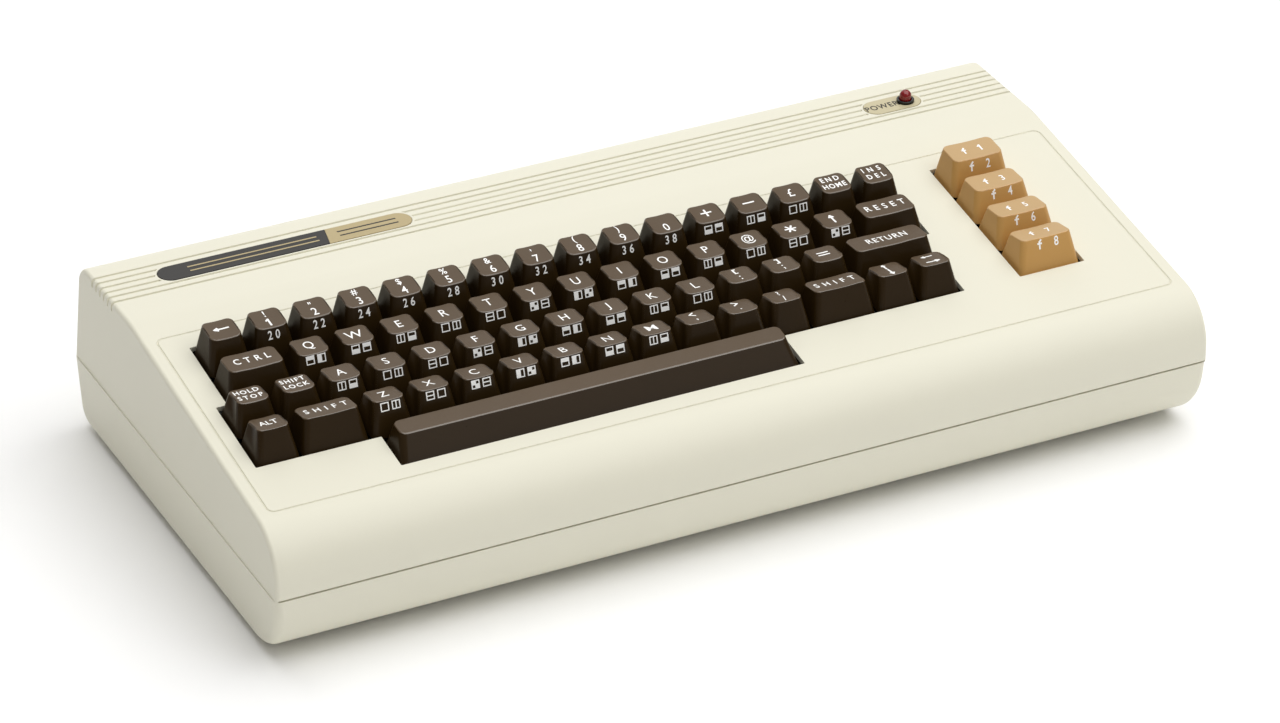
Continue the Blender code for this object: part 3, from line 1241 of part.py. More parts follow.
def main():
    make_top_case()
    make_bottom_case()
    make_badges()
    make_lamp()
    make_keys()
    make_keyboard_frame()
    make_main_board()
    make_board_parts()
    make_expansion_socket()
    rear_face = HALF_DEPTH - PORT_RECESS - LOWER_REAR_LEAN
    middle_z = PORT_FOOT + ROUND_SOCKET_SIZE / 2
    facing_rear = Matrix.Rotation(pi, 4, "Z") @ FRONT_VIEW
    for name, centre, pins in (
        ("video_socket", VIDEO_CENTRE, VIDEO_PIN_COUNT),
        ("serial_socket", SERIAL_CENTRE, SERIAL_PIN_COUNT),
    ):
        place = (centre, rear_face, middle_z)
        make_round_socket(name, place, facing_rear, pins, SOCKET_PIN_RADIUS, 0, SOCKET_PIN_SPAN)
    place = (HALF_WIDTH - PORT_RECESS, INLET_CENTRE, middle_z)
    make_round_socket("power_inlet", place, SIDE_VIEW, INLET_PIN_COUNT, INLET_PIN_RADIUS, 0, pi)
    make_control_port()
    make_power_switch()
    make_keyboard_cable()
    make_case_screws()
    make_feet()


main()
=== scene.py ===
"""Looks of a vintage home computer: cream two-part case, brown and tan keys, badges, lamp and ports."""

from math import atan2, cos, pi, radians, sin, tan

import bmesh
import bpy
from bpy.props import FloatProperty, FloatVectorProperty, IntProperty, PointerProperty
from mathutils import Matrix, Vector


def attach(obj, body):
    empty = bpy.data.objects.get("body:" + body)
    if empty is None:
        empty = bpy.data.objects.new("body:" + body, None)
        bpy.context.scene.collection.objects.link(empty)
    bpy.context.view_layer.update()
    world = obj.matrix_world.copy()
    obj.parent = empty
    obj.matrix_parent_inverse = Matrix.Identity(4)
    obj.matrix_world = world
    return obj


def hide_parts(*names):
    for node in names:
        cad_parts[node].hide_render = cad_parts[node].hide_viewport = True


bl_info = {
    "name": "Vintage Home Computer",
    "version": (1, 0, 0),
    "blender": (4, 5, 0),
    "location": "View3D > Sidebar > Home Computer",
    "description": "Models the finished surfaces of a vintage home computer around its packed parts",
    "category": "Object",
}

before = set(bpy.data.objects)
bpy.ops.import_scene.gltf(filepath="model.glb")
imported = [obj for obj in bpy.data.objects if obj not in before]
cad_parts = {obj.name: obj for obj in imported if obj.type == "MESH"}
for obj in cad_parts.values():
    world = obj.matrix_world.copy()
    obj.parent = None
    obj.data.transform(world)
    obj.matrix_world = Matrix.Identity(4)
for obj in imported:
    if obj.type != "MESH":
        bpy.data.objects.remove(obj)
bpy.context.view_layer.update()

# Case, in metres as everything here
TINY = 1e-5
HALF_WIDTH = 0.2032
BOTTOM_HALF_WIDTH = 0.2031
# The top case is a hair narrower than the bottom, so the lower rim shows as a fine ledge
TOP_HALF_WIDTH = 0.2026
TOP_REAR_STEP = 0.0004
HALF_DEPTH = 0.10155
SEAM_HEIGHT = 0.0328
SEAM_FOOT = 0.0322
FRONT_GAP = 0.0008
SEAT_HEIGHT = 0.0321
RIM_HEIGHT = 0.0328
RIM_CHAMFER = 0.0002
TOP_HEIGHT = 0.0783
BASE_HEIGHT = 0.0025
NOSE_RADIUS = 0.0210
BEND_RADIUS = 0.0400
REAR_RADIUS = 0.0094
SIDE_RADIUS = 0.0018
SIDE_DRAFT = 0.0004
LOWER_STEP = 0.0003
LOWER_FRONT_RADIUS = 0.0247
LOWER_REAR_RADIUS = 0.0080
LOWER_SIDE_RADIUS = 0.0036
LOWER_SIDE_DRAFT = 0.0016
LOWER_REAR_LEAN = 0.0012
LOWER_WALL = 0.0035
LIP_INSET = 0.0031
LIP_WALL = 0.0013
LIP_HEAD = 0.0340
REAR_LEAN = radians(9.5)
BEND_Y = HALF_DEPTH - 0.0605
TILT = radians(8.3)
PANEL_Y = -HALF_DEPTH + 0.0186
PANEL_Z = TOP_HEIGHT - (BEND_Y - PANEL_Y) * tan(TILT)
PANEL = Matrix.Translation((0, PANEL_Y, PANEL_Z)) @ Matrix.Rotation(TILT, 4, "X")

# Keyboard: the pitch of the keys, and places on the sloping panel
PITCH = 0.01905
KEYS_X = -HALF_WIDTH + 0.0178
LOWER_KEYS_X = KEYS_X - 0.25 * PITCH
KEYS_FRONT = 0.0264
KEYS_REAR = KEYS_FRONT + 4 * PITCH
FUNCTION_X = -HALF_WIDTH + 0.3443
ROW_PITCHES = 16
WIDE_KEY = 1.5
SPACE_BAR_PITCHES = 9
SPACE_BAR_DEPTH = 0.0185
SPACE_BAR_X = KEYS_X + (2.47 + SPACE_BAR_PITCHES / 2) * PITCH

# Flat rear top: badges, lamp and grooves
BADGE_Y = HALF_DEPTH - 0.0315
NAME_BADGE = (-HALF_WIDTH + 0.0255, -HALF_WIDTH + 0.0255 + 0.1090)
POWER_BADGE = (HALF_WIDTH - 0.0392 - 0.0255, HALF_WIDTH - 0.0392)
BADGE_WIDTH = 0.0112
BADGE_EDGE = 0.00012
BADGE_FOOT = TOP_HEIGHT - 0.0006
BADGE_HEAD = TOP_HEIGHT + 0.0001
PRINT_THICKNESS = 0.00004
LAMP_CENTRE = (HALF_WIDTH - 0.0457, BADGE_Y)
CLIP_RADIUS = 0.0037
GROOVE_PITCH = 0.00408

# Middles of the ports across the rear, then of those along the right side
CARTRIDGE_X = 0.1150
VIDEO_X = 0.0240
SERIAL_X = -0.0020
CASSETTE_X = -0.0440
USER_PORT_X = -0.1280
CONTROL_Y = 0.0050
SWITCH_Y = 0.0360
INLET_Y = 0.0640

# The sockets' mouths stand a little inside the case's outer faces, and their floors below the mouths
REAR_SOCKET_Y = HALF_DEPTH - 0.0020
SIDE_SOCKET_X = HALF_WIDTH - 0.0008
PORT_FOOT = 0.0140
ROUND_SOCKET_HEIGHT = 0.0160
ROUND_SOCKET_FLOOR = -0.0110
CONTROL_HEIGHT = 0.0125
CONTROL_FLOOR = -0.0100
SWITCH_HEIGHT = 0.0150
BOARD_TOP = PORT_FOOT - 0.0003
BOARD_THICKNESS = 0.0016
BOARD_END_Y = 0.09635
CONTACT_PITCH = 0.00396
REAR_VIEW = Matrix(((-1, 0, 0, 0), (0, 0, 1, 0), (0, 1, 0, 0), (0, 0, 0, 1)))
SIDE_VIEW = Matrix(((0, 0, 1, 0), (1, 0, 0, 0), (0, 1, 0, 0), (0, 0, 0, 1)))

# Height of the top over the panel, lean, depth of the top and its shift to the back, for each row
ROW_FORMS = (
    (0.0117, radians(-2.0), 0.0120, 0.0027),
    (0.0094, radians(-7.0), 0.0120, 0.0029),
    (0.0093, radians(-12.3), 0.0121, 0.0028),
    (0.0097, radians(-17.3), 0.0121, 0.0031),
)
SPACE_BAR_FORM = (0.0070, 0.0, 0.0085, 0.0040)
# How far the front marks stand below the top's front edge, for each row
FRONT_DROPS = (0.0034, 0.00265, 0.0028, 0.00275)
KEY_FOOT = -0.0022
KEY_GAP = 0.00085
KEY_TAPER = 0.0027
KEY_CORNER = 0.0025
KEY_EDGE = 0.00045

# Lettering: how high a capital stands in the type as a share of its size, and how narrow it is drawn
CAPITAL_SHARE = 0.682
NARROW_SHARE = 0.78
WIDE_SHARE = 0.95
TYPE_STROKE_SHARE = 0.089
# Heights of the other legends, as shares of a single capital's
WORD_SHARE = 0.76
STACKED_WORD_SHARE = 0.59
LOWER_SIGN_SHARE = 0.92
UPPER_SIGN_SHARE = 0.74
FRONT_NUMBER_SHARE = 0.70

# The little squares on the key fronts: the parts left open, as shares of the inner half width
TILE_HOLE_SHARES = (
    ((-1, 1, -1, 1),),
    ((-1, 1, 0.1, 1),),
    ((0.1, 1, -1, 1),),
    ((-1, 1, 0.18, 1), (-1, 1, -1, -0.18)),
    ((0.18, 1, -1, 1), (-1, -0.18, -1, 1)),
    ((-1, 1, -1, 0.1),),
    ((0.18, 1, 0.18, 1), (-1, -0.18, -1, -0.18)),
)

# Signs drawn with straight strokes: both ends of each, as shares of the sign's height
SIGN_STROKES = {
    "f": (((-0.02, -0.48), (-0.02, 0.26)), ((-0.02, 0.26), (0.16, 0.46)), ((-0.2, 0.08), (0.2, 0.08))),
    "1": (((0, -0.44), (0, 0.44)), ((0, 0.42), (-0.2, 0.24))),
    "+": (((-0.42, 0), (0.42, 0)), ((0, -0.42), (0, 0.42))),
    "-": (((-0.46, 0), (0.46, 0)),),
    "=": (((-0.46, 0.2), (0.46, 0.2)), ((-0.46, -0.2), (0.46, -0.2))),
    "*": (((-0.45, 0), (0.45, 0)), ((-0.24, -0.4), (0.24, 0.4)), ((-0.24, 0.4), (0.24, -0.4))),
    "<": (((0.26, 0.42), (-0.26, 0)), ((-0.26, 0), (0.26, -0.42))),
    "[": (((-0.1, 0.45), (-0.1, -0.45)), ((-0.1, 0.45), (0.16, 0.45)), ((-0.1, -0.45), (0.16, -0.45))),
    "←": (((-0.58, 0), (0.6, 0)), ((-0.58, 0), (-0.3, 0.16)), ((-0.58, 0), (-0.3, -0.16))),
    "↑": (((0, 0.52), (0, -0.56)), ((0, 0.52), (0.17, 0.24)), ((0, 0.52), (-0.17, 0.24))),
}
# Signs that are another one mirrored: that sign, and the factors of its places across and up
MIRRORED_SIGNS = {">": ("<", -1, 1), "]": ("[", -1, 1), "→": ("←", -1, 1), "↓": ("↑", 1, -1)}

# Rows from the back: start in pitches, then every node with its keys' width in pitches, the words on
# their tops and the marks on their fronts, where # is a pair of little squares
ROWS = (
    (0, (
        ("number_keys_1", 1, ("←", "! 1", '" 2'), ("", "20", "22")),
        ("number_keys_2", 1, ("# 3", "$ 4", "% 5"), ("24", "26", "28")),
        ("number_keys_3", 1, ("& 6", "' 7"), ("30", "32")),
        ("number_keys_4", 1, ("( 8", ") 9", " 0"), ("34", "36", "38")),
        ("number_keys_5", 1, "+-£", "###"),
        ("edit_keys", 1, ("END HOME", "INS DEL"), ("", "")),
    )),
    (0, (
        ("control_key", 1.5, ("CTRL",), ("",)),
        ("upper_keys_1", 1, "QWE", "###"),
        ("upper_keys_2", 1, "RT", "##"),
        ("upper_keys_3", 1, "YUI", "###"),
        ("upper_keys_4", 1, "OP@", "###"),
        ("upper_keys_5", 1, "*↑", "##"),
        ("restore_key", 1.5, ("RESET",), ("",)),
    )),
    (-0.25, (
        ("stop_key", 1, ("HOLD STOP",), ("",)),
        ("shift_lock_key", 1, ("SHIFT LOCK",), ("",)),
        ("home_keys_1", 1, "ASD", "###"),
        ("home_keys_2", 1, "FGH", "###"),
        ("home_keys_3", 1, "JKL", "###"),
        ("home_keys_4", 1, ("[ :", "] ;", "="), ("", "", "")),
        ("return_key", 2, ("RETURN",), ("",)),
    )),
    (-0.25, (
        ("mode_key", 1, ("ALT",), ("",)),
        ("left_shift_key", 1.5, ("SHIFT",), ("",)),
        ("lower_keys_1", 1, "ZXC", "###"),
        ("lower_keys_2", 1, "VB", "##"),
        ("lower_keys_3", 1, "NM", "##"),
        ("lower_keys_4", 1, ("< ,", "> .", "? /"), ("", "", "")),
        ("right_shift_key", 1.5, ("SHIFT",), ("",)),
        ("cursor_keys", 1, ("↑ ↓", "← →"), ("", "")),
    )),
)


def linear(hex_colour):
    """An sRGB hex colour as linear red, green, blue and alpha."""
    channels = [int(hex_colour[i:i + 2], 16) / 255 for i in (1, 3, 5)]
    return tuple(c / 12.92 if c <= 0.04045 else ((c + 0.055) / 1.055) ** 2.4 for c in channels) + (1.0,)


# Settings that every colour for a user has
COLOUR = {"size": 4, "min": 0, "max": 1, "subtype": "COLOR"}


class CaseSettings(bpy.types.PropertyGroup):
    """What a user would change on the case."""

    shell_colour: FloatVectorProperty(
        name="Shell colour", description="Colour of the moulded case", default=linear("#E4E1CF"),
        **COLOUR,
    )
    wall: FloatProperty(name="Wall", description="Wall of the top shell", default=0.0025, unit="LENGTH")
    edge: FloatProperty(
        name="Edge rounding", description="Rounding of the cut edges", default=0.0003, unit="LENGTH",
    )
    groove_depth: FloatProperty(
        name="Groove depth", description="Depth of each groove", default=0.0010, unit="LENGTH",
    )
    groove_width: FloatProperty(
        name="Groove width", description="Width of each groove", default=0.0011, unit="LENGTH",
    )
    groove_count: IntProperty(name="Grooves", description="How many grooves run across the rear", default=6)


class KeySettings(bpy.types.PropertyGroup):
    """What a user would change on the keys."""

    key_colour: FloatVectorProperty(
        name="Key colour", description="Colour of the dark keys", default=linear("#2B1E0B"),
        **COLOUR,
    )
    function_colour: FloatVectorProperty(
        name="Function key colour", description="Colour of the function keys", default=linear("#C29555"),
        **COLOUR,
    )
    dish: FloatProperty(
        name="Dish", description="How deep the key tops are dished", default=0.0004, unit="LENGTH",
    )
    letter: FloatProperty(
        name="Letter height", description="Height of a single capital", default=0.0049, unit="LENGTH",
    )


class StageSettings(bpy.types.PropertyGroup):
    """What a user would change on the stage."""

    floor_colour: FloatVectorProperty(
        name="Floor colour", description="Colour of the studio floor", default=linear("#FFFFFF"),
        **COLOUR,
    )
    lens: FloatProperty(
        name="Lens", description="Focal length of the camera in millimetres", default=159.0,
    )


# Modelling helpers


def only(obj):
    """Makes the object the one that operators act on."""
    if bpy.context.object and bpy.context.object.mode != "OBJECT":
        bpy.ops.object.mode_set(mode="OBJECT")
    bpy.ops.object.select_all(action="DESELECT")
    bpy.context.view_layer.objects.active = obj
    obj.select_set(True)


def edit(obj):
    """Opens the object in edit mode with nothing selected."""
    only(obj)
    bpy.ops.object.mode_set(mode="EDIT")
    bpy.ops.mesh.select_all(action="DESELECT")


def done():
    """Closes edit mode."""
    bpy.ops.object.mode_set(mode="OBJECT")


def choose(kind, test):
    """Selects just the faces, edges or points of the open mesh that pass the test."""
    mesh = bpy.context.edit_object.data
    bpy.ops.mesh.select_mode(type=kind)
    bpy.ops.mesh.select_all(action="DESELECT")
    shape = bmesh.from_edit_mesh(mesh)
    items = {"FACE": shape.faces, "EDGE": shape.edges, "VERT": shape.verts}[kind]
    for item in items:
        if test(item):
            item.select_set(True)
    shape.select_flush_mode()
    bmesh.update_edit_mesh(mesh)


def near(value, other):
    """Whether two lengths are the same but for rounding."""
    return abs(value - other) < TINY


def edge_at(test):
    """A test for edges whose two ends both pass."""
    return lambda edge: all(test(vertex.co) for vertex in edge.verts)


def settle(obj):
    """Puts the object's place, turn and scale into its mesh."""
    only(obj)
    bpy.ops.object.transform_apply(location=True, rotation=True, scale=True)
    return obj


def finish_modifier(obj, kind, **settings):
    """Adds a modifier with its settings and applies it."""
    modifier = obj.modifiers.new(kind.lower(), kind)
    for name, value in settings.items():
        setattr(modifier, name, value)
    only(obj)
    bpy.ops.object.modifier_apply(modifier=modifier.name)
    return obj


def add(operator, name, **settings):
    """Adds an object with an operator while nothing is selected, and names it."""
    bpy.ops.object.select_all(action="DESELECT")
    operator(**settings)
    obj = bpy.context.active_object
    obj.name = name
    return obj


def block(name, low, high):
    """A block between two corners."""
    low, high = Vector(low), Vector(high)
    obj = add(bpy.ops.mesh.primitive_cube_add, name, size=1, location=(low + high) / 2)
    obj.data.name = name
    obj.scale = high - low
    return settle(obj)


def rod(name, radius, low, high, centre=(0, 0), sides=64):
    """A round bar along Z."""
    obj = add(
        bpy.ops.mesh.primitive_cylinder_add, name,
        vertices=sides, radius=radius, depth=high - low, location=(*centre, (low + high) / 2),
    )
    obj.data.name = name
    return settle(obj)


def bevel_edges(test, offset, segments):
    """Rounds the edges of the open mesh that pass the test."""
    choose("EDGE", test)
    bpy.ops.mesh.bevel(offset=offset, segments=segments, profile=0.5, affect="EDGES", clamp_overlap=False)


def rounded_block(name, low, high, radius, segments=12):
    """A block with its four upright edges rounded."""
    obj = block(name, low, high)
    edit(obj)
    bevel_edges(lambda edge: not near(edge.verts[0].co.z, edge.verts[1].co.z), radius, segments)
    done()
    return obj


def badge_form(name, badge, border, low, high):
    """A bar with half-round ends over a badge's place, wider all round by the border."""
    half = (BADGE_WIDTH + 2 * border) / 2
    front_left = (badge[0] - border, BADGE_Y - half, low)
    rear_right = (badge[1] + border, BADGE_Y + half, high)
    return rounded_block(name, front_left, rear_right, half - TINY, 16)


def place(obj, matrix):
    """Moves the object's mesh by a matrix."""
    obj.matrix_world = matrix @ obj.matrix_world
    return settle(obj)


def combine(obj, other, operation):
    """Cuts or joins with another object, which is then gone."""
    finish_modifier(obj, "BOOLEAN", object=other, operation=operation, solver="EXACT")
    bpy.data.objects.remove(other)
    return obj


def cut(obj, other):
    """Cuts the other object out of this one."""
    return combine(obj, other, "DIFFERENCE")


def twin(obj, name):
    """A copy with a mesh of its own."""
    copy = obj.copy()
    copy.data = obj.data.copy()
    copy.name = name
    copy.data.name = name
    bpy.context.scene.collection.objects.link(copy)
    return copy


def merge(pieces, name):
    """Joins separate objects into one."""
    only(pieces[0])
    for piece in pieces[1:]:
        piece.select_set(True)
    if len(pieces) > 1:
        bpy.ops.object.join()
    pieces[0].name = name
    pieces[0].data.name = name
    return pieces[0]


def soften(obj, width, segments=2, angle=40):
    """Rounds every sharp edge a little and smooths the shading."""
    finish_modifier(
        obj, "BEVEL", width=width, segments=segments, limit_method="ANGLE", angle_limit=radians(angle),
        use_clamp_overlap=False, miter_outer="MITER_ARC", harden_normals=False,
    )
    only(obj)
    bpy.ops.object.shade_smooth_by_angle(angle=radians(38))
    return finish_modifier(obj, "WEIGHTED_NORMAL", keep_sharp=True, weight=80)


def dress(obj, material, body, nodes=()):
    """Gives a piece its material, its body and the nodes that it stands for."""
    if material:
        obj.data.materials.clear()
        obj.data.materials.append(material)
    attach(obj, body)
    if nodes:
        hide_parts(*nodes)
    return obj


# Materials


def add_node(tree, kind, settings=(), links=()):
    """Adds a shader node, sets its sockets and settings, and links its inputs."""
    node = tree.nodes.new("ShaderNode" + kind)
    for name, value in dict(settings).items():
        if name in node.inputs:
            node.inputs[name].default_value = value
        else:
            setattr(node, name, value)
    for socket, source, output in links:
        tree.links.new(source.outputs[output], node.inputs[socket])
    return node


def new_material(name):
    """A new material, its node tree and its Principled shader, or the one that has this name already."""
    material = bpy.data.materials.get(name)
    if material:
        return material, None, None
    material = bpy.data.materials.new(name)
    material.use_nodes = True
    tree = material.node_tree
    return material, tree, tree.nodes["Principled BSDF"]


def grained(
    name, colour, roughness, grain_mm, bump_mm,
    ior=1.5, tone=0.05, metallic=0.0, rough_spread=0.05, gleam=0.5,
):
    """A moulded or coated surface: fine grain in its relief, slow drift in its colour and gloss."""
    material, tree, shader = new_material(name)
    if tree is None:
        return material
    shader.inputs["Metallic"].default_value = metallic
    if not metallic:
        shader.inputs["IOR"].default_value = ior
    shader.inputs["Specular IOR Level"].default_value = gleam
    where = add_node(tree, "TexCoord")
    drift = add_node(tree, "TexNoise", {"Scale": 28.0, "Detail": 3.0}, [("Vector", where, "Object")])
    mix = add_node(tree, "Mix", {"data_type": "RGBA"})
    mix.inputs[6].default_value = tuple(c * (1 - tone) for c in colour[:3]) + (1.0,)
    mix.inputs[7].default_value = tuple(min(c * (1 + tone), 1.0) for c in colour[:3]) + (1.0,)
    tree.links.new(drift.outputs["Fac"], mix.inputs[0])
    tree.links.new(mix.outputs[2], shader.inputs["Base Color"])
    grain = add_node(
        tree, "TexNoise", {"Scale": 1000 / grain_mm, "Detail": 2.0}, [("Vector", where, "Object")],
    )
    gloss = add_node(
        tree, "MapRange", {"To Min": roughness - rough_spread, "To Max": roughness + rough_spread},
        [("Value", grain, "Fac")],
    )
    tree.links.new(gloss.outputs["Result"], shader.inputs["Roughness"])
    bump = add_node(tree, "Bump", {"Strength": 1.0, "Distance": bump_mm / 1000}, [("Height", grain, "Fac")])
    tree.links.new(bump.outputs["Normal"], shader.inputs["Normal"])
    return material


def shell_plastic():
    """ABS from a spark-eroded mould: satin, with a fine even grain and a warm cast of age."""
    settings = bpy.context.scene.computer_case
    return grained(
        "abs_satin_moulded", settings.shell_colour, 0.42, 0.7, 0.012, ior=1.53, tone=0.012, gleam=0.32,
    )


def key_side_plastic():
    """ABS key sides from a polished mould: darker and glossier than the tops."""
    settings = bpy.context.scene.computer_keys
    return grained(
        "abs_key_polished", settings.key_colour, 0.30, 0.9, 0.004, ior=1.53, tone=0.06, gleam=0.15,
    )


def key_top_plastic():
    """ABS key tops from an etched mould: a fine matt grain that scatters the light and looks paler."""
    colour = linear("#54432E")
    return grained("abs_key_etched", colour, 0.46, 0.45, 0.020, tone=0.06, rough_spread=0.12, gleam=0.40)


def key_edge_plastic():
    """ABS round the rim of a key top, rubbed smooth by fingers: it catches the light as a thin line."""
    return grained("abs_key_worn_edge", linear("#55442F"), 0.20, 0.9, 0.003, ior=1.53, tone=0.06, gleam=1.0)


def function_side_plastic():
    """Tan ABS key sides from a polished mould."""
    settings = bpy.context.scene.computer_keys
    return grained("abs_tan_polished", settings.function_colour, 0.36, 0.9, 0.004, tone=0.03, gleam=0.35)


def function_top_plastic():
    """Tan ABS key tops from an etched mould."""
    colour = linear("#C2A274")
    return grained("abs_tan_etched", colour, 0.50, 0.45, 0.016, tone=0.03, rough_spread=0.10, gleam=0.35)


def function_edge_plastic():
    """Tan ABS round the rim of a key top, rubbed smooth by fingers."""
    return grained("abs_tan_worn_edge", linear("#C9A06A"), 0.20, 0.9, 0.003, tone=0.03, gleam=0.6)


def legend_ink():
    """Two-shot white legends, level with the key: a plain satin white."""
    return grained("abs_white_legend", linear("#FFFFFC"), 0.45, 0.6, 0.004, tone=0.01)


def badge_lacquer():
    """Aluminium badge printed in dark lacquer under a clear coat."""
    return grained("lacquer_dark_badge", linear("#2B2927"), 0.38, 0.5, 0.003, gleam=0.3)


def badge_gold():
    """Aluminium badge printed in pale gold, with a brushed grain under the print."""
    return grained("anodised_gold_badge", linear("#B6A57A"), 0.38, 0.3, 0.004, metallic=0.25)


def badge_pale():
    """Aluminium badge printed in a pale straw colour, matt."""
    return grained("anodised_straw_badge", linear("#C8BE9C"), 0.45, 0.3, 0.004, tone=0.04, metallic=0.15)


def lamp_lens():
    """Tinted epoxy lens of a lamp: deep red and glossy."""
    material, tree, shader = new_material("epoxy_red_lens")
    if tree is None:
        return material
    where = add_node(tree, "TexCoord")
    haze = add_node(tree, "TexNoise", {"Scale": 600.0, "Detail": 2.0}, [("Vector", where, "Object")])
    tint = add_node(tree, "ValToRGB", (), [("Fac", haze, "Fac")])
    tint.color_ramp.elements[0].color = linear("#4E0306")
    tint.color_ramp.elements[1].color = linear("#9C0A10")
    tree.links.new(tint.outputs["Color"], shader.inputs["Base Color"])
    shader.inputs["Roughness"].default_value = 0.04
    shader.inputs["IOR"].default_value = 1.55
    shader.inputs["Specular IOR Level"].default_value = 0.6
    return material


def black_plastic():
    """Black nylon mouldings: keyboard frame, sockets and switch."""
    return grained("nylon_black_moulded", linear("#191919"), 0.35, 0.6, 0.006, tone=0.08)


def clip_plastic():
    """The lamp's clip: black and shiny."""
    return grained("nylon_black_polished", linear("#100F0F"), 0.14, 0.9, 0.002)


def plated_steel():
    """Tin-plated steel sheet and screws: bright, with a fine grain."""
    return grained("steel_tin_plated", linear("#B7B9B8"), 0.30, 0.4, 0.006, metallic=1.0)


def contact_gold():
    """Contacts plated with thin gold over nickel: warm, bright and slightly worn."""
    return grained("gold_flash_contact", linear("#D8AE5A"), 0.26, 0.4, 0.003, tone=0.06, metallic=1.0)


def black_aluminium():
    """Heat sink: extruded aluminium with a black anodised skin."""
    return grained("aluminium_black_anodised", linear("#2B2C2E"), 0.42, 0.3, 0.006, tone=0.08, metallic=0.8)


def solder_mask():
    """Circuit board: green solder mask over copper tracks, which show as slightly raised lines."""
    material, tree, shader = new_material("fibreglass_solder_mask")
    if tree is None:
        return material
    where = add_node(tree, "TexCoord")
    pattern = {
        "Scale": 40.0, "Mortar Size": 0.08, "Brick Width": 0.6, "Row Height": 0.2,
        "Color1": linear("#1F5A31"), "Color2": linear("#256A39"), "Mortar": linear("#3D8A50"),
    }
    tracks = add_node(tree, "TexBrick", pattern, [("Vector", where, "Object")])
    tree.links.new(tracks.outputs["Color"], shader.inputs["Base Color"])
    bump = add_node(tree, "Bump", {"Strength": 0.6, "Distance": 0.00005}, [("Height", tracks, "Fac")])
    tree.links.new(bump.outputs["Normal"], shader.inputs["Normal"])
    shader.inputs["Roughness"].default_value = 0.28
    return material


def rubber():
    """Moulded rubber feet: dull and slightly dusty."""
    return grained("rubber_moulded", linear("#2E2C2A"), 0.85, 0.8, 0.02, tone=0.12)


def socket_blue():
    """Blue moulded socket."""
    return grained("pbt_blue_moulded", linear("#1C4585"), 0.42, 0.6, 0.005)


def sleeve_blue():
    """Shrunk plastic sleeve of a capacitor."""
    return grained("pvc_blue_sleeve", linear("#35557E"), 0.30, 0.8, 0.004)


def ribbon_grey():
    """Grey ribbon cable, with a fine grain in its relief."""
    return grained("pvc_grey_ribbon", linear("#9B9B96"), 0.50, 0.8, 0.01)


def floor_paper():
    """Seamless studio paper: white and matt, with the faintest fibre."""
    settings = bpy.context.scene.computer_stage
    return grained("paper_seamless", settings.floor_colour, 0.90, 1.5, 0.01, tone=0.004)


# Pieces


def push(test, offset):
    """Moves the points of the open mesh that pass the test."""
    choose("VERT", lambda vertex: test(vertex.co))
    bpy.ops.transform.translate(value=offset)


def top_form(name, inset, foot):
    """The closed form of the top case, or of its hollow when inset, from the foot up."""
    half, front, top = TOP_HALF_WIDTH - inset, -HALF_DEPTH + inset, TOP_HEIGHT - inset
    bend = BEND_Y + inset * tan(TILT / 2)
    rear = HALF_DEPTH - TOP_REAR_STEP - inset / cos(REAR_LEAN) + (SEAM_HEIGHT - foot) * tan(REAR_LEAN)
    rear_top = rear - (top - foot) * tan(REAR_LEAN)
    nose = top - (bend - front) * tan(TILT)
    form = block(name, (-half, front, foot), (half, rear, top))
    edit(form)
    choose("FACE", lambda face: face.normal.z > 0.9)
    bpy.ops.mesh.bisect(plane_co=(0, bend, 0), plane_no=(0, 1, 0))
    for side in (-1, 1):
        for y, offset_y, offset_z, share in (
            (front, 0, nose - top, (nose - SEAM_HEIGHT) / (TOP_HEIGHT - SEAM_HEIGHT)),
            (bend, 0, 0, 1),
            (rear, rear_top - rear, 0, 1),
        ):
            push(lambda co: near(co.z, top) and near(co.y, y) and co.x * side > 0,
                 (-side * SIDE_DRAFT * share, offset_y, offset_z))
    for y, z, radius, turn, segments in (
        (front, nose, NOSE_RADIUS, pi / 2 - TILT, 28),
        (bend, top, BEND_RADIUS, TILT, 6),
        (rear_top, top, REAR_RADIUS, pi / 2 - REAR_LEAN, 16),
    ):
        at_bend = edge_at(lambda co: near(co.y, y) and near(co.z, z))
        bevel_edges(at_bend, (radius - inset) * tan(turn / 2), segments)
    round_ends(foot, SIDE_RADIUS - inset, 6)
    done()
    return form


def round_ends(foot, radius, segments):
    """Rounds the outline of both end faces of the open mesh, but for the edge at this height."""
    def at_end(edge):
        faces = [abs(face.normal.x) > 0.99 for face in edge.link_faces]
        return any(faces) and not all(faces) and not all(near(vertex.co.z, foot) for vertex in edge.verts)
    bevel_edges(at_end, max(radius, 0.0005), segments)


def cut_key_openings(shell):
    """Cuts the stepped keyboard opening and the function key opening, square to the panel."""
    gap, reach = 0.0005, 0.012
    jog = KEYS_FRONT + 2 * PITCH
    row = ROW_PITCHES * PITCH
    half = SPACE_BAR_PITCHES * PITCH / 2 + gap
    bay_front, bay_rear = KEYS_FRONT - SPACE_BAR_DEPTH, KEYS_FRONT + gap
    for name, left, front, right, rear in (
        ("rear_rows", KEYS_X - gap, jog, KEYS_X + row + gap, KEYS_REAR),
        ("front_rows", LOWER_KEYS_X - gap, KEYS_FRONT, LOWER_KEYS_X + row + gap, jog + gap),
        ("space_bar_bay", SPACE_BAR_X - half, bay_front, SPACE_BAR_X + half, bay_rear),
        ("function_bay", FUNCTION_X - gap, KEYS_FRONT, FUNCTION_X + WIDE_KEY * PITCH + gap, KEYS_REAR),
    ):
        cut(shell, place(block(name, (left, front, -reach), (right, rear, reach)), PANEL))


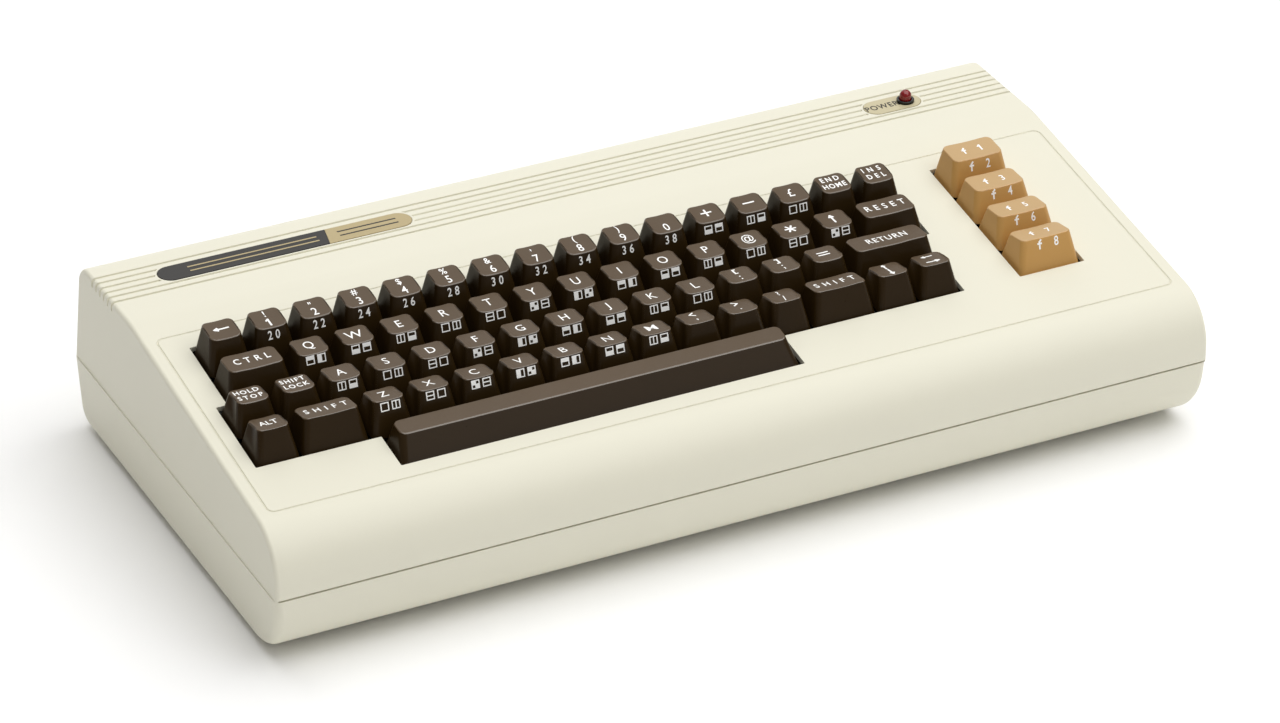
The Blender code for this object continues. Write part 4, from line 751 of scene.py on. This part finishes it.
def cut_panel_line(shell):
    """Cuts the fine line that runs round the panel."""
    half, length, corner = HALF_WIDTH - 0.0065, 0.1120, 0.0032
    width, depth = 0.0005, 0.00035
    ring = rounded_block("panel_line", (-half, 0, -depth), (half, length, 0.003), corner)
    inner_front, inner_rear = (-half + width, width, -0.004), (half - width, length - width, 0.006)
    core = rounded_block("panel_core", inner_front, inner_rear, corner - width)
    cut(shell, place(cut(ring, core), PANEL))


def cut_grooves(shell, settings):
    """Cuts the grooves across the rear, down round both side edges, but not through the badges' seats."""
    depth, half = settings.groove_depth, settings.groove_width / 2
    side = TOP_HALF_WIDTH - SIDE_DRAFT
    first = HALF_DEPTH - 0.0224
    low, floor, high = TOP_HEIGHT - 0.0037, TOP_HEIGHT - depth, TOP_HEIGHT + 0.003
    slab = block("groove", (-side - 0.004, first - half, low), (side + 0.004, first + half, high))
    core_left, core_right = (-side + depth, first - 0.005, low - 0.01), (side - depth, first + 0.005, floor)
    core = block("groove_core", core_left, core_right)
    edit(core)
    at_floor = edge_at(lambda co: near(co.z, floor))
    bevel_edges(
        lambda edge: at_floor(edge) and near(edge.verts[0].co.x, edge.verts[1].co.x),
        SIDE_RADIUS - 0.6 * depth, 6,
    )
    done()
    cut(slab, core)
    finish_modifier(
        slab, "ARRAY", count=settings.groove_count, use_relative_offset=False, use_constant_offset=True,
        constant_offset_displace=(0, -GROOVE_PITCH, 0),
    )
    for badge in (NAME_BADGE, POWER_BADGE):
        cut(slab, badge_form("seat", badge, 0.0011, TOP_HEIGHT - 0.02, TOP_HEIGHT + 0.02))
    cut(shell, slab)


def front_gap():
    """A cutter that leaves a shadow line between the two cases along the front."""
    reach, deep = TOP_HALF_WIDTH - 0.6 * SIDE_RADIUS, HALF_DEPTH - 2 * LOWER_WALL
    return block("front_gap", (-reach, -HALF_DEPTH - FRONT_GAP, 0), (reach, -deep, SEAT_HEIGHT + FRONT_GAP))


def make_top_shell(settings):
    """The top case with its openings, panel line, grooves, badge seats and lamp hole."""
    shell = top_form("top_shell", 0, SEAM_FOOT)
    cut(shell, top_form("top_hollow", settings.wall, SEAM_HEIGHT - 0.01))
    cut(shell, front_gap())
    cut_key_openings(shell)
    cut_panel_line(shell)
    cut_grooves(shell, settings)
    for badge in (NAME_BADGE, POWER_BADGE):
        cut(shell, badge_form("recess", badge, 0.0002, TOP_HEIGHT - 0.0008, TOP_HEIGHT + 0.01))
    cut(shell, rod("lamp_hole", CLIP_RADIUS, TOP_HEIGHT - 0.01, TOP_HEIGHT + 0.01, LAMP_CENTRE))
    soften(shell, settings.edge)
    return dress(shell, shell_plastic(), "case", ("top_case",))


def bottom_form(name, inset, head):
    """The closed form of the bottom case, or of its hollow when inset, up to the head."""
    half, low = BOTTOM_HALF_WIDTH - inset, BASE_HEIGHT + inset
    front, rear = -HALF_DEPTH + LOWER_STEP + inset, HALF_DEPTH - inset
    form = block(name, (-half, front, low), (half, rear, head))
    edit(form)
    for side in (-1, 1):
        push(lambda co: near(co.z, low) and co.x * side > 0, (-side * LOWER_SIDE_DRAFT, 0, 0))
    push(lambda co: near(co.z, low) and co.y > 0, (0, -LOWER_REAR_LEAN, 0))
    bevel_edges(edge_at(lambda co: near(co.z, low) and co.y < 0), LOWER_FRONT_RADIUS - inset, 28)
    bevel_edges(edge_at(lambda co: near(co.z, low) and co.y > HALF_DEPTH / 2), LOWER_REAR_RADIUS - inset, 14)
    round_ends(head, LOWER_SIDE_RADIUS - inset, 10)
    done()
    return form


def make_bottom_shell(settings):
    """The bottom case with the seat that the top case stands in, and its port openings."""
    shell = bottom_form("bottom_shell", 0, RIM_HEIGHT)
    edit(shell)
    bevel_edges(edge_at(lambda co: near(co.z, RIM_HEIGHT)), RIM_CHAMFER, 1)
    done()
    cut(shell, bottom_form("bottom_hollow", LOWER_WALL, SEAM_HEIGHT + 0.01))
    cut(shell, top_form("seat", 0, SEAT_HEIGHT))
    combine(shell, make_lip(), "UNION")
    for name, low, high in port_holes():
        cut(shell, block(name, low, high))
    soften(shell, 0.4 * settings.edge, angle=50)
    return dress(shell, shell_plastic(), "case", ("bottom_case",))


def make_lip():
    """The thin inner wall that stands up behind the seam and closes it to the eye."""
    lip = bottom_form("lip", LIP_INSET, LIP_HEAD)
    cut(lip, bottom_form("lip_hollow", LIP_INSET + LIP_WALL, LIP_HEAD + 0.01))
    reach = HALF_WIDTH + 0.01
    return cut(lip, block("lip_foot", (-reach, -reach, -reach), (reach, reach, SEAT_HEIGHT - 0.004)))


def port_holes():
    """Every hole in the bottom case's rear and right walls, as boxes."""
    gap, depth, clear = 0.0003, 0.012, 0.01
    round_half, round_head = ROUND_SOCKET_HEIGHT / 2 + gap, PORT_FOOT + ROUND_SOCKET_HEIGHT + gap
    edge_foot, edge_head = 0.0079, 0.0207
    for name, middle, half, foot, head in (
        ("cartridge_hole", CARTRIDGE_X, 0.071, BOARD_TOP, SEAM_HEIGHT + clear),
        ("video_hole", VIDEO_X, round_half, BOARD_TOP, round_head),
        ("serial_hole", SERIAL_X, round_half, BOARD_TOP, round_head),
        ("cassette_hole", CASSETTE_X, 0.017, edge_foot, edge_head),
        ("user_port_hole", USER_PORT_X, 0.030, edge_foot, edge_head),
    ):
        yield name, (middle - half, HALF_DEPTH - depth, foot), (middle + half, HALF_DEPTH + clear, head)
    for name, middle, half, head in (
        ("control_hole", CONTROL_Y, 0.0158, PORT_FOOT + CONTROL_HEIGHT + gap),
        ("switch_hole", SWITCH_Y, 0.0108, PORT_FOOT + SWITCH_HEIGHT + gap),
        ("inlet_hole", INLET_Y, round_half, round_head),
    ):
        yield name, (HALF_WIDTH - depth, middle - half, BOARD_TOP), (HALF_WIDTH + clear, middle + half, head)


def key_form(name, width, depth, form, dish):
    """One key: a tapered cap with a leaning, dished top, round corners and a square plunger below."""
    height, lean, top_depth, shift = form
    half_x, half_y = (width - KEY_GAP) / 2, (depth - KEY_GAP) / 2
    cap = block(name, (-half_x, -half_y, KEY_FOOT), (half_x, half_y, height))
    edit(cap)
    choose("VERT", lambda vertex: vertex.co.z > 0)
    bpy.ops.transform.resize(value=((half_x - KEY_TAPER) / half_x, top_depth / (2 * half_y), 1))
    bpy.ops.transform.translate(value=(0, shift, 0))
    bpy.ops.transform.rotate(value=-lean, orient_axis="X", center_override=(0, shift, height))
    bevel_edges(lambda edge: abs(edge.verts[0].co.z - edge.verts[1].co.z) > 0.004, KEY_CORNER, 7)
    done()
    if dish:
        reach = min(half_x, PITCH / 2) - KEY_TAPER
        radius = (reach * reach + dish * dish) / (2 * dish)
        cutter = rod("dish", radius, -0.02, 0.02, sides=256)
        rise = Matrix.Translation((0, 0, radius - dish)) @ Matrix.Rotation(pi / 2, 4, "X")
        cut(cap, place(cutter, top_frame(form) @ rise))
    soften(cap, KEY_EDGE, 3, 35)
    return combine(cap, plunger(), "UNION")


def plunger():
    """The square plunger under a key, from inside the cap down to the frame."""
    half, shift, foot = 0.0022, 0.0021, -0.0131
    return block("plunger", (-half, shift - half, foot), (half, shift + half, 0.0020))


def face_slots(cap, finishes, lean):
    """Gives the key's sides, its top and the rim between them a material each."""
    cap.data.materials.clear()
    for finish in finishes:
        cap.data.materials.append(finish)
    sides, top, rim = range(3)
    up = Matrix.Rotation(lean, 3, "X") @ Vector((0, 0, 1))
    for polygon in cap.data.polygons:
        facing = polygon.normal.dot(up) if polygon.center.z > 0.003 else 0
        polygon.material_index = top if facing > 0.93 else rim if facing > 0.42 else sides


def stroke_width(height):
    """How thick the strokes of a legend are: small lettering is bolder for its height."""
    return 0.00042 + 0.055 * height


def top_faces(obj):
    """Keeps just the faces that look up, as a flat mark."""
    edit(obj)
    choose("FACE", lambda face: face.normal.z < 0.5)
    bpy.ops.mesh.delete(type="FACE")
    done()
    return obj


def words(name, text, height, width=0):
    """A line of lettering as a flat mesh round its own middle, spaced out to the width if one is given."""
    line = add(bpy.ops.object.text_add, name)
    size = height / CAPITAL_SHARE
    line.data.body = text
    line.data.size = size
    line.data.align_x = "CENTER"
    line.data.offset = (stroke_width(height) - TYPE_STROKE_SHARE * size) / 2
    line.data.resolution_u = 3
    if width:
        spans = []
        for spread in (1, 2):
            line.data.space_character = spread
            bpy.context.view_layer.update()
            spans.append(line.dimensions.x * NARROW_SHARE)
        line.data.space_character = 1 + (width - spans[0]) / (spans[1] - spans[0])
    bpy.ops.object.convert(target="MESH")
    line = bpy.context.active_object
    middle = sum((Vector(corner) for corner in line.bound_box), Vector()) / 8
    share = WIDE_SHARE if text in ("M", "W") else NARROW_SHARE
    place(line, Matrix.Diagonal((share, 1, 1, 1)) @ Matrix.Translation((-middle.x, -middle.y, 0)))
    return line


def stroke(start, end, width):
    """A straight stroke of a sign, as a thin bar."""
    start, end = Vector(start), Vector(end)
    half = (end - start).length / 2 + 0.4 * width
    bar = block("stroke", (-half, -width / 2, -0.001), (half, width / 2, 0))
    turn = Matrix.Rotation(atan2(end.y - start.y, end.x - start.x), 4, "Z")
    return place(bar, Matrix.Translation((*(start + end) / 2, 0)) @ turn)


def drawn_sign(text, height):
    """A sign of straight strokes, each given by its two ends as shares of the height."""
    text, across, up = MIRRORED_SIGNS.get(text, (text, 1, 1))
    size = Vector((across * height, up * height))
    width = 0.00012 + stroke_width(height)
    bars = [stroke(Vector(start) * size, Vector(end) * size, width) for start, end in SIGN_STROKES[text]]
    for bar in bars[1:]:
        combine(bars[0], bar, "UNION")
    return top_faces(bars[0])


def flat_mark(sign, height, width, x, y):
    """A flat mark at its place: a copy of a little square, or a word, a sign or a figure."""
    if isinstance(sign, bpy.types.Object):
        mark = twin(sign, "mark")
    elif sign in SIGN_STROKES or sign in MIRRORED_SIGNS:
        mark = drawn_sign(sign, height)
    else:
        mark = words("mark", sign, height, width)
    return place(mark, Matrix.Translation((x, y, 0)))


def lay_on(mark, cap, frame_over):
    """Projects a flat mark along a frame's Z on to the key's surface, a hair proud of it."""
    over = frame_over @ Matrix.Translation((0, 0, 0.0020))
    edit(mark)
    bpy.ops.mesh.select_all(action="SELECT")
    bpy.ops.mesh.quads_convert_to_tris()
    bpy.ops.mesh.subdivide(number_cuts=1)
    done()
    target = place(twin(cap, "target"), over.inverted())
    finish_modifier(
        mark, "SHRINKWRAP", target=target, wrap_method="PROJECT", use_project_z=True,
        use_negative_direction=True, use_positive_direction=False, wrap_mode="ON_SURFACE", offset=0.00004,
    )
    bpy.data.objects.remove(target)
    return place(mark, over)


class HOMECOMPUTER_OT_case(bpy.types.Operator):
    """Models the two halves of the case"""

    bl_idname = "home_computer.case"
    bl_label = "Case"

    def execute(self, context):
        settings = context.scene.computer_case
        make_top_shell(settings)
        make_bottom_shell(settings)
        return {"FINISHED"}


class HOMECOMPUTER_OT_keys(bpy.types.Operator):
    """Models every key and its lettering"""

    bl_idname = "home_computer.keys"
    bl_label = "Keys"

    def execute(self, context):
        make_keys(context.scene.computer_keys)
        return {"FINISHED"}


def make_tiles():
    """The little squares for the key fronts, one of each pattern."""
    tiles = []
    half, line = 0.00175, 0.00045
    inner = half - line
    for holes in TILE_HOLE_SHARES:
        tile = block("tile", (-half, -half, -line), (half, half, 0))
        for left, right, low, high in holes:
            cut(tile, block(
                "tile_hole", (left * inner, low * inner, -2 * line), (right * inner, high * inner, line),
            ))
        tiles.append(top_faces(tile))
    return tiles


def front_lines(sign, settings, tiles, index):
    """The marks on a key's front, as on its top: none, a number, or two of the little squares."""
    if sign != "#":
        return [(sign, FRONT_NUMBER_SHARE * settings.letter, 0.0050, 0, 0)] if sign else []
    apart = 0.0047
    return [(tiles[(3 * index + 4 * side) % len(tiles)], 0, 0, (side - 0.5) * apart, 0) for side in (0, 1)]


def top_lines(settings, share, top_words):
    """The lines on a key's top, each with its text, height, width and place across the key."""
    letter, middle = settings.letter, 0.0002
    if len(top_words) == 1:
        text = top_words[0]
        if len(text) == 1:
            return [(text, letter, 0, 0, middle)]
        width = 0.0150 if len(text) < 5 else 0.0178
        return [(text, WORD_SHARE * letter, width if share > 1 else 0, 0, middle)]
    upper, lower = top_words
    if len(lower) > 1:
        return [
            (text, STACKED_WORD_SHARE * letter, 0.0102 if len(text) > 3 else 0.0082, 0, y)
            for text, y in ((upper, 0.0027), (lower, -0.0020))
        ]
    lines = [(lower, LOWER_SIGN_SHARE * letter, 0, 0, -0.0026)]
    if upper:
        lines.append((upper, UPPER_SIGN_SHARE * letter, 0, 0, 0.0030))
    return lines


def function_lines(number):
    """A small f and a number set well apart."""
    height, reach = 0.0037, 0.0038
    return [("f", height, 0, -reach, 0), (str(number), height, 0, reach, 0)]


def key_places(settings, brown, tan_kind):
    """Every key's node, row, width in pitches, middle along the row, plastics, top lines and front lines."""
    tiles = make_tiles()
    index = 0
    for row, (start, groups) in enumerate(ROWS):
        x = KEYS_X + start * PITCH
        for node, share, tops, fronts in groups:
            for top, front in zip(tops, fronts):
                index += 1
                lines = top_lines(settings, share, top.split(" ")), front_lines(front, settings, tiles, index)
                yield node, row, share, x + share * PITCH / 2, brown, *lines
                x += share * PITCH
    for tile in tiles:
        bpy.data.objects.remove(tile)
    x = FUNCTION_X + WIDE_KEY / 2 * PITCH
    for row in range(len(ROWS)):
        lines = function_lines(2 * row + 1), function_lines(2 * row + 2)
        yield f"function_key_{row + 1}", row, WIDE_KEY, x, tan_kind, *lines


def make_keys(settings):
    """Models each kind of key once, then copies it to every place that has that kind."""
    brown = (key_side_plastic(), key_top_plastic(), key_edge_plastic())
    tan_kind = (function_side_plastic(), function_top_plastic(), function_edge_plastic())
    kinds, caps, marks = {}, {}, {}
    for node, row, share, x, finishes, top, front in key_places(settings, brown, tan_kind):
        form = ROW_FORMS[row]
        spot = PANEL @ Matrix.Translation((x, row_middle(row), 0))
        kind = (row, share, finishes[0].name)
        if kind not in kinds:
            dish = settings.dish if share == 1 else settings.dish / 2
            kinds[kind] = key_form(f"kind_{len(kinds)}", share * PITCH, PITCH, form, dish)
            face_slots(kinds[kind], finishes, form[1])
        caps.setdefault(node, []).append(place(twin(kinds[kind], "cap"), spot))
        for lines, over in ((top, top_frame(form)), (front, front_frame(row))):
            for line in lines:
                mark = lay_on(flat_mark(*line), kinds[kind], over)
                marks.setdefault(node, []).append(place(mark, spot))
    ink = legend_ink()
    for node, pieces in caps.items():
        dress(merge(pieces, "keys_" + node), None, node, (node,))
        if node in marks:
            dress(merge(marks[node], "legend_" + node), ink, node)
    bar = key_form("space_bar_cap", SPACE_BAR_PITCHES * PITCH, SPACE_BAR_DEPTH, SPACE_BAR_FORM, 0)
    face_slots(bar, brown, 0)
    place(bar, PANEL @ Matrix.Translation((SPACE_BAR_X, KEYS_FRONT - SPACE_BAR_DEPTH / 2, 0)))
    dress(bar, None, "space_bar", ("space_bar",))
    for pattern in kinds.values():
        bpy.data.objects.remove(pattern)


def row_middle(row):
    """How far up the panel the middle of a row of keys is."""
    return KEYS_REAR - (row + 0.5) * PITCH


def top_frame(form):
    """A frame over a key's top: Z square to the top."""
    height, lean, _, shift = form
    return Matrix.Translation((0, shift, height)) @ Matrix.Rotation(lean, 4, "X")


def front_frame(row):
    """A frame over a key's front, below the top's edge: Z square to the front."""
    height, lean, top_depth, shift = ROW_FORMS[row]
    edge = Vector((0, shift - top_depth / 2 * cos(lean), height - top_depth / 2 * sin(lean)))
    foot = Vector((0, -(PITCH - KEY_GAP) / 2, KEY_FOOT))
    rise = edge - foot
    middle = edge - rise.normalized() * FRONT_DROPS[row]
    return Matrix.Translation(middle) @ Matrix.Rotation(atan2(rise.z, rise.y), 4, "X")


class HOMECOMPUTER_OT_badges(bpy.types.Operator):
    """Models the name badge and the power badge"""

    bl_idname = "home_computer.badges"
    bl_label = "Badges"

    def execute(self, context):
        left, right = NAME_BADGE
        dark = badge_form("name_badge_plate", NAME_BADGE, 0, BADGE_FOOT, BADGE_HEAD)
        gold = twin(dark, "name_badge_gold_end")
        split = left + 0.0725
        lean = Matrix.Translation((split, BADGE_Y, 0)) @ Matrix.Rotation(radians(-12), 4, "Z")
        cut(dark, place(block("right_part", (0, -0.02, 0), (0.2, 0.02, 0.1)), lean))
        cut(gold, place(block("left_part", (-0.2, -0.02, 0), (0.00005, 0.02, 0.1)), lean))
        for piece, material in ((dark, badge_lacquer()), (gold, badge_gold())):
            soften(piece, BADGE_EDGE)
            dress(piece, material, "case", ("name_badge",))
        for name, low, high, material in (
            ("badge_stripes_gold", left + 0.0130, split - 0.0040, badge_gold()),
            ("badge_stripes_dark", split + 0.0050, right - 0.0060, badge_lacquer()),
        ):
            stripes, half = [], 0.0004
            for middle in (BADGE_Y - 0.0016, BADGE_Y + 0.0016):
                front_left = (low, middle - half, BADGE_HEAD)
                rear_right = (high, middle + half, BADGE_HEAD + PRINT_THICKNESS)
                stripes.append(block(name, front_left, rear_right))
            dress(merge(stripes, name), material, "case")
        plate = badge_form("power_badge_plate", POWER_BADGE, 0, BADGE_FOOT, BADGE_HEAD)
        cut(plate, rod("lamp_hole", CLIP_RADIUS, BADGE_FOOT - 0.01, BADGE_HEAD + 0.01, LAMP_CENTRE))
        soften(plate, BADGE_EDGE)
        dress(plate, badge_pale(), "case", ("power_badge",))
        label = words("power_word", "POWER", 0.0036, 0.0154)
        middle = (POWER_BADGE[0] + LAMP_CENTRE[0] - CLIP_RADIUS) / 2 + 0.0004
        place(label, Matrix.Translation((middle, BADGE_Y, BADGE_HEAD + PRINT_THICKNESS)))
        dress(label, badge_lacquer(), "case")
        return {"FINISHED"}


class HOMECOMPUTER_OT_lamp(bpy.types.Operator):
    """Models the power lamp and the clip that holds it"""

    bl_idname = "home_computer.lamp"
    bl_label = "Power lamp"

    def execute(self, context):
        top, lens_radius, lens_length = TOP_HEIGHT + 0.0013, 0.0025, 0.0058
        clip = rod("lamp_clip_ring", CLIP_RADIUS, TOP_HEIGHT + 0.0004, top, LAMP_CENTRE)
        barrel = rod("clip_barrel", 0.0033, top - 0.0070, TOP_HEIGHT + 0.0008, LAMP_CENTRE)
        combine(clip, barrel, "UNION")
        cut(clip, rod("clip_bore", 0.0027, top - 0.02, top + 0.02, LAMP_CENTRE))
        soften(clip, 0.0003, 3)
        dress(clip, clip_plastic(), "case", ("lamp_clip",))
        dome = (*LAMP_CENTRE, top + 0.0014)
        lens = add(
            bpy.ops.mesh.primitive_uv_sphere_add, "power_lamp_lens",
            segments=48, ring_count=24, radius=lens_radius, location=dome,
        )
        settle(lens)
        edit(lens)
        bpy.ops.mesh.select_all(action="SELECT")
        bpy.ops.mesh.bisect(plane_co=(0, 0, dome[2]), plane_no=(0, 0, 1), clear_inner=True)
        choose("EDGE", lambda edge: len(edge.link_faces) == 1)
        bpy.ops.mesh.extrude_region_move(TRANSFORM_OT_translate={"value": (0, 0, -lens_length)})
        bpy.ops.mesh.edge_face_add()
        done()
        only(lens)
        bpy.ops.object.shade_smooth_by_angle(angle=radians(38))
        dress(lens, lamp_lens(), "case", ("power_lamp",))
        return {"FINISHED"}


def round_contacts(name, where, view, pins, radius):
    """The plated lining of a round socket, and the gold pins that stand round half its floor."""
    mouth = Matrix.Translation(where) @ view
    lining = rod(name + "_lining", 0.0065, ROUND_SOCKET_FLOOR + 0.0002, -0.0003)
    cut(lining, rod("lining_bore", 0.0061, -0.02, 0.02))
    soften(lining, 0.00008, 1)
    dress(place(lining, mouth), plated_steel(), "case")
    circle = 0.0036
    angles = [pi * index / (pins - 1) for index in range(pins)]
    centres = [(circle * cos(angle), circle * sin(angle)) for angle in angles]
    gold_pins(name, centres, radius, 0.0057, mouth, ROUND_SOCKET_FLOOR)


def gold_pins(name, centres, radius, length, mouth, floor):
    """Gold pins that stand on a socket's floor."""
    pins = [rod("pin", radius, floor, floor + length, centre, 16) for centre in centres]
    pins = soften(merge(pins, name + "_contacts"), 0.0002)
    dress(place(pins, mouth), contact_gold(), "case")


def edge_contacts(name, middle_x, count):
    """Gold contacts on a tongue of the main board, above and below."""
    thin, half, front, rear = 0.00005, 0.00125, BOARD_END_Y - 0.0048, BOARD_END_Y - 0.0003
    pads = []
    for index in range(count):
        x = middle_x + (index - (count - 1) / 2) * CONTACT_PITCH
        for low in (BOARD_TOP, BOARD_TOP - BOARD_THICKNESS - thin):
            pads.append(block("pad", (x - half, front, low), (x + half, rear, low + thin)))
    dress(merge(pads, name), contact_gold(), "case")


class HOMECOMPUTER_OT_contacts(bpy.types.Operator):
    """Models the linings and gold contacts of the sockets and board edges"""

    bl_idname = "home_computer.contacts"
    bl_label = "Contacts"

    def execute(self, context):
        socket_middle = PORT_FOOT + ROUND_SOCKET_HEIGHT / 2
        control_middle = PORT_FOOT + CONTROL_HEIGHT / 2
        for name, x, pins in (("video", VIDEO_X, 5), ("serial", SERIAL_X, 6)):
            round_contacts(name, (x, REAR_SOCKET_Y, socket_middle), REAR_VIEW, pins, 0.00078)
        round_contacts("inlet", (SIDE_SOCKET_X, INLET_Y, socket_middle), SIDE_VIEW, 2, 0.00112)
        mouth = Matrix.Translation((SIDE_SOCKET_X, CONTROL_Y, control_middle)) @ SIDE_VIEW
        pin_pitch, row_height = 0.00277, 0.00142
        centres = [
            ((index - (count - 1) / 2) * pin_pitch, level * row_height)
            for count, level in ((4, -1), (5, 1)) for index in range(count)
        ]
        gold_pins("control", centres, 0.00056, 0.0050, mouth, CONTROL_FLOOR)
        edge_contacts("cassette_contacts", CASSETTE_X, 6)
        edge_contacts("user_port_contacts", USER_PORT_X, 12)
        return {"FINISHED"}


class HOMECOMPUTER_OT_ports(bpy.types.Operator):
    """Gives the sockets, boards, feet and screws their finishes"""

    bl_idname = "home_computer.ports"
    bl_label = "Ports and inside"

    def execute(self, context):
        for finish, nodes in (
            (black_plastic, (
                "keyboard_frame", "video_socket", "serial_socket", "control_port", "power_inlet",
                "power_switch_body", "power_switch_rocker",
            )),
            (solder_mask, ("keyboard_circuit_board", "main_circuit_board")),
            (plated_steel, ("shield_box", "case_screw_1", "case_screw_2", "case_screw_3")),
            (rubber, ("foot_1", "foot_2", "foot_3", "foot_4")),
            (ribbon_grey, ("keyboard_cable",)),
            (black_aluminium, ("heat_sink",)),
            (sleeve_blue, ("capacitor_can",)),
            (socket_blue, ("expansion_socket",)),
        ):
            for node in nodes:
                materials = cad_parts[node].data.materials
                materials.clear()
                materials.append(finish())
        return {"FINISHED"}


class HOMECOMPUTER_OT_stage(bpy.types.Operator):
    """Sets the floor, the lights and the camera"""

    bl_idname = "home_computer.stage"
    bl_label = "Stage"

    def execute(self, context):
        settings = context.scene.computer_stage
        floor = add(bpy.ops.mesh.primitive_plane_add, "studio_floor", size=12)
        floor.data.materials.append(floor_paper())
        # Each light's name, place, size, power in watts and the point that it faces
        lights = (
            ("overhead_softbox", (0.5, -0.15, 2.2), 3.2, 67.0, (0.0, 0.0, 0.0)),
            ("front_softbox", (1.0, -2.2, 1.6), 1.2, 5.0, (0.0, 0.0, 0.05)),
            ("rear_softbox", (0.3, 2.2, 1.0), 2.2, 13.0, (0.0, 0.0, 0.05)),
        )
        for name, where, size, power, aim in lights:
            light = add(bpy.ops.object.light_add, name, type="AREA", location=where)
            light.data.shape = "SQUARE"
            light.data.size = size
            light.data.energy = power
            light.rotation_euler = (Vector(aim) - Vector(where)).to_track_quat("-Z", "Y").to_euler()
        world = bpy.data.worlds.new("studio_air")
        context.scene.world = world
        world.use_nodes = True
        air = world.node_tree.nodes["Background"].inputs
        air["Color"].default_value = linear("#FFFDFA")
        air["Strength"].default_value = 0.25
        context.scene.view_settings.view_transform = "Standard"
        add_camera(settings)
        return {"FINISHED"}


def add_camera(settings):
    """The camera at the photograph's viewing angle."""
    camera = add(
        bpy.ops.object.camera_add, "photo_camera",
        location=(-0.87471, -1.73742, 1.18861), rotation=(1.03386020, -0.00649904, -0.46268608),
    )
    camera.data.lens = settings.lens
    camera.data.sensor_width = 36
    camera.data.shift_x = -0.0014
    camera.data.shift_y = -0.0003
    camera.data.clip_start = 0.05
    camera.data.clip_end = 50
    bpy.context.scene.camera = camera


class HOMECOMPUTER_PT_panel(bpy.types.Panel):
    """Lists the pieces in the sidebar"""

    bl_idname = "HOMECOMPUTER_PT_panel"
    bl_label = "Home Computer"
    bl_space_type = "VIEW_3D"
    bl_region_type = "UI"
    bl_category = "Home Computer"

    def draw(self, context):
        for group, kind in GROUPS.items():
            for name in kind.__annotations__:
                self.layout.prop(getattr(context.scene, group), name)
        for operator in OPERATORS:
            self.layout.operator(operator.bl_idname)


GROUPS = {"computer_case": CaseSettings, "computer_keys": KeySettings, "computer_stage": StageSettings}
OPERATORS = (
    HOMECOMPUTER_OT_case,
    HOMECOMPUTER_OT_keys,
    HOMECOMPUTER_OT_badges,
    HOMECOMPUTER_OT_lamp,
    HOMECOMPUTER_OT_contacts,
    HOMECOMPUTER_OT_ports,
    HOMECOMPUTER_OT_stage,
)
CLASSES = (*GROUPS.values(), *OPERATORS, HOMECOMPUTER_PT_panel)


def register():
    for kind in CLASSES:
        bpy.utils.register_class(kind)
    for name, group in GROUPS.items():
        setattr(bpy.types.Scene, name, PointerProperty(type=group))


def unregister():
    for name in GROUPS:
        delattr(bpy.types.Scene, name)
    for kind in reversed(CLASSES):
        bpy.utils.unregister_class(kind)


def main():
    register()
    bpy.ops.home_computer.stage()
    bpy.ops.home_computer.case()
    bpy.ops.home_computer.keys()
    bpy.ops.home_computer.badges()
    bpy.ops.home_computer.lamp()
    bpy.ops.home_computer.contacts()
    bpy.ops.home_computer.ports()


if __name__ == "__main__":
    main()
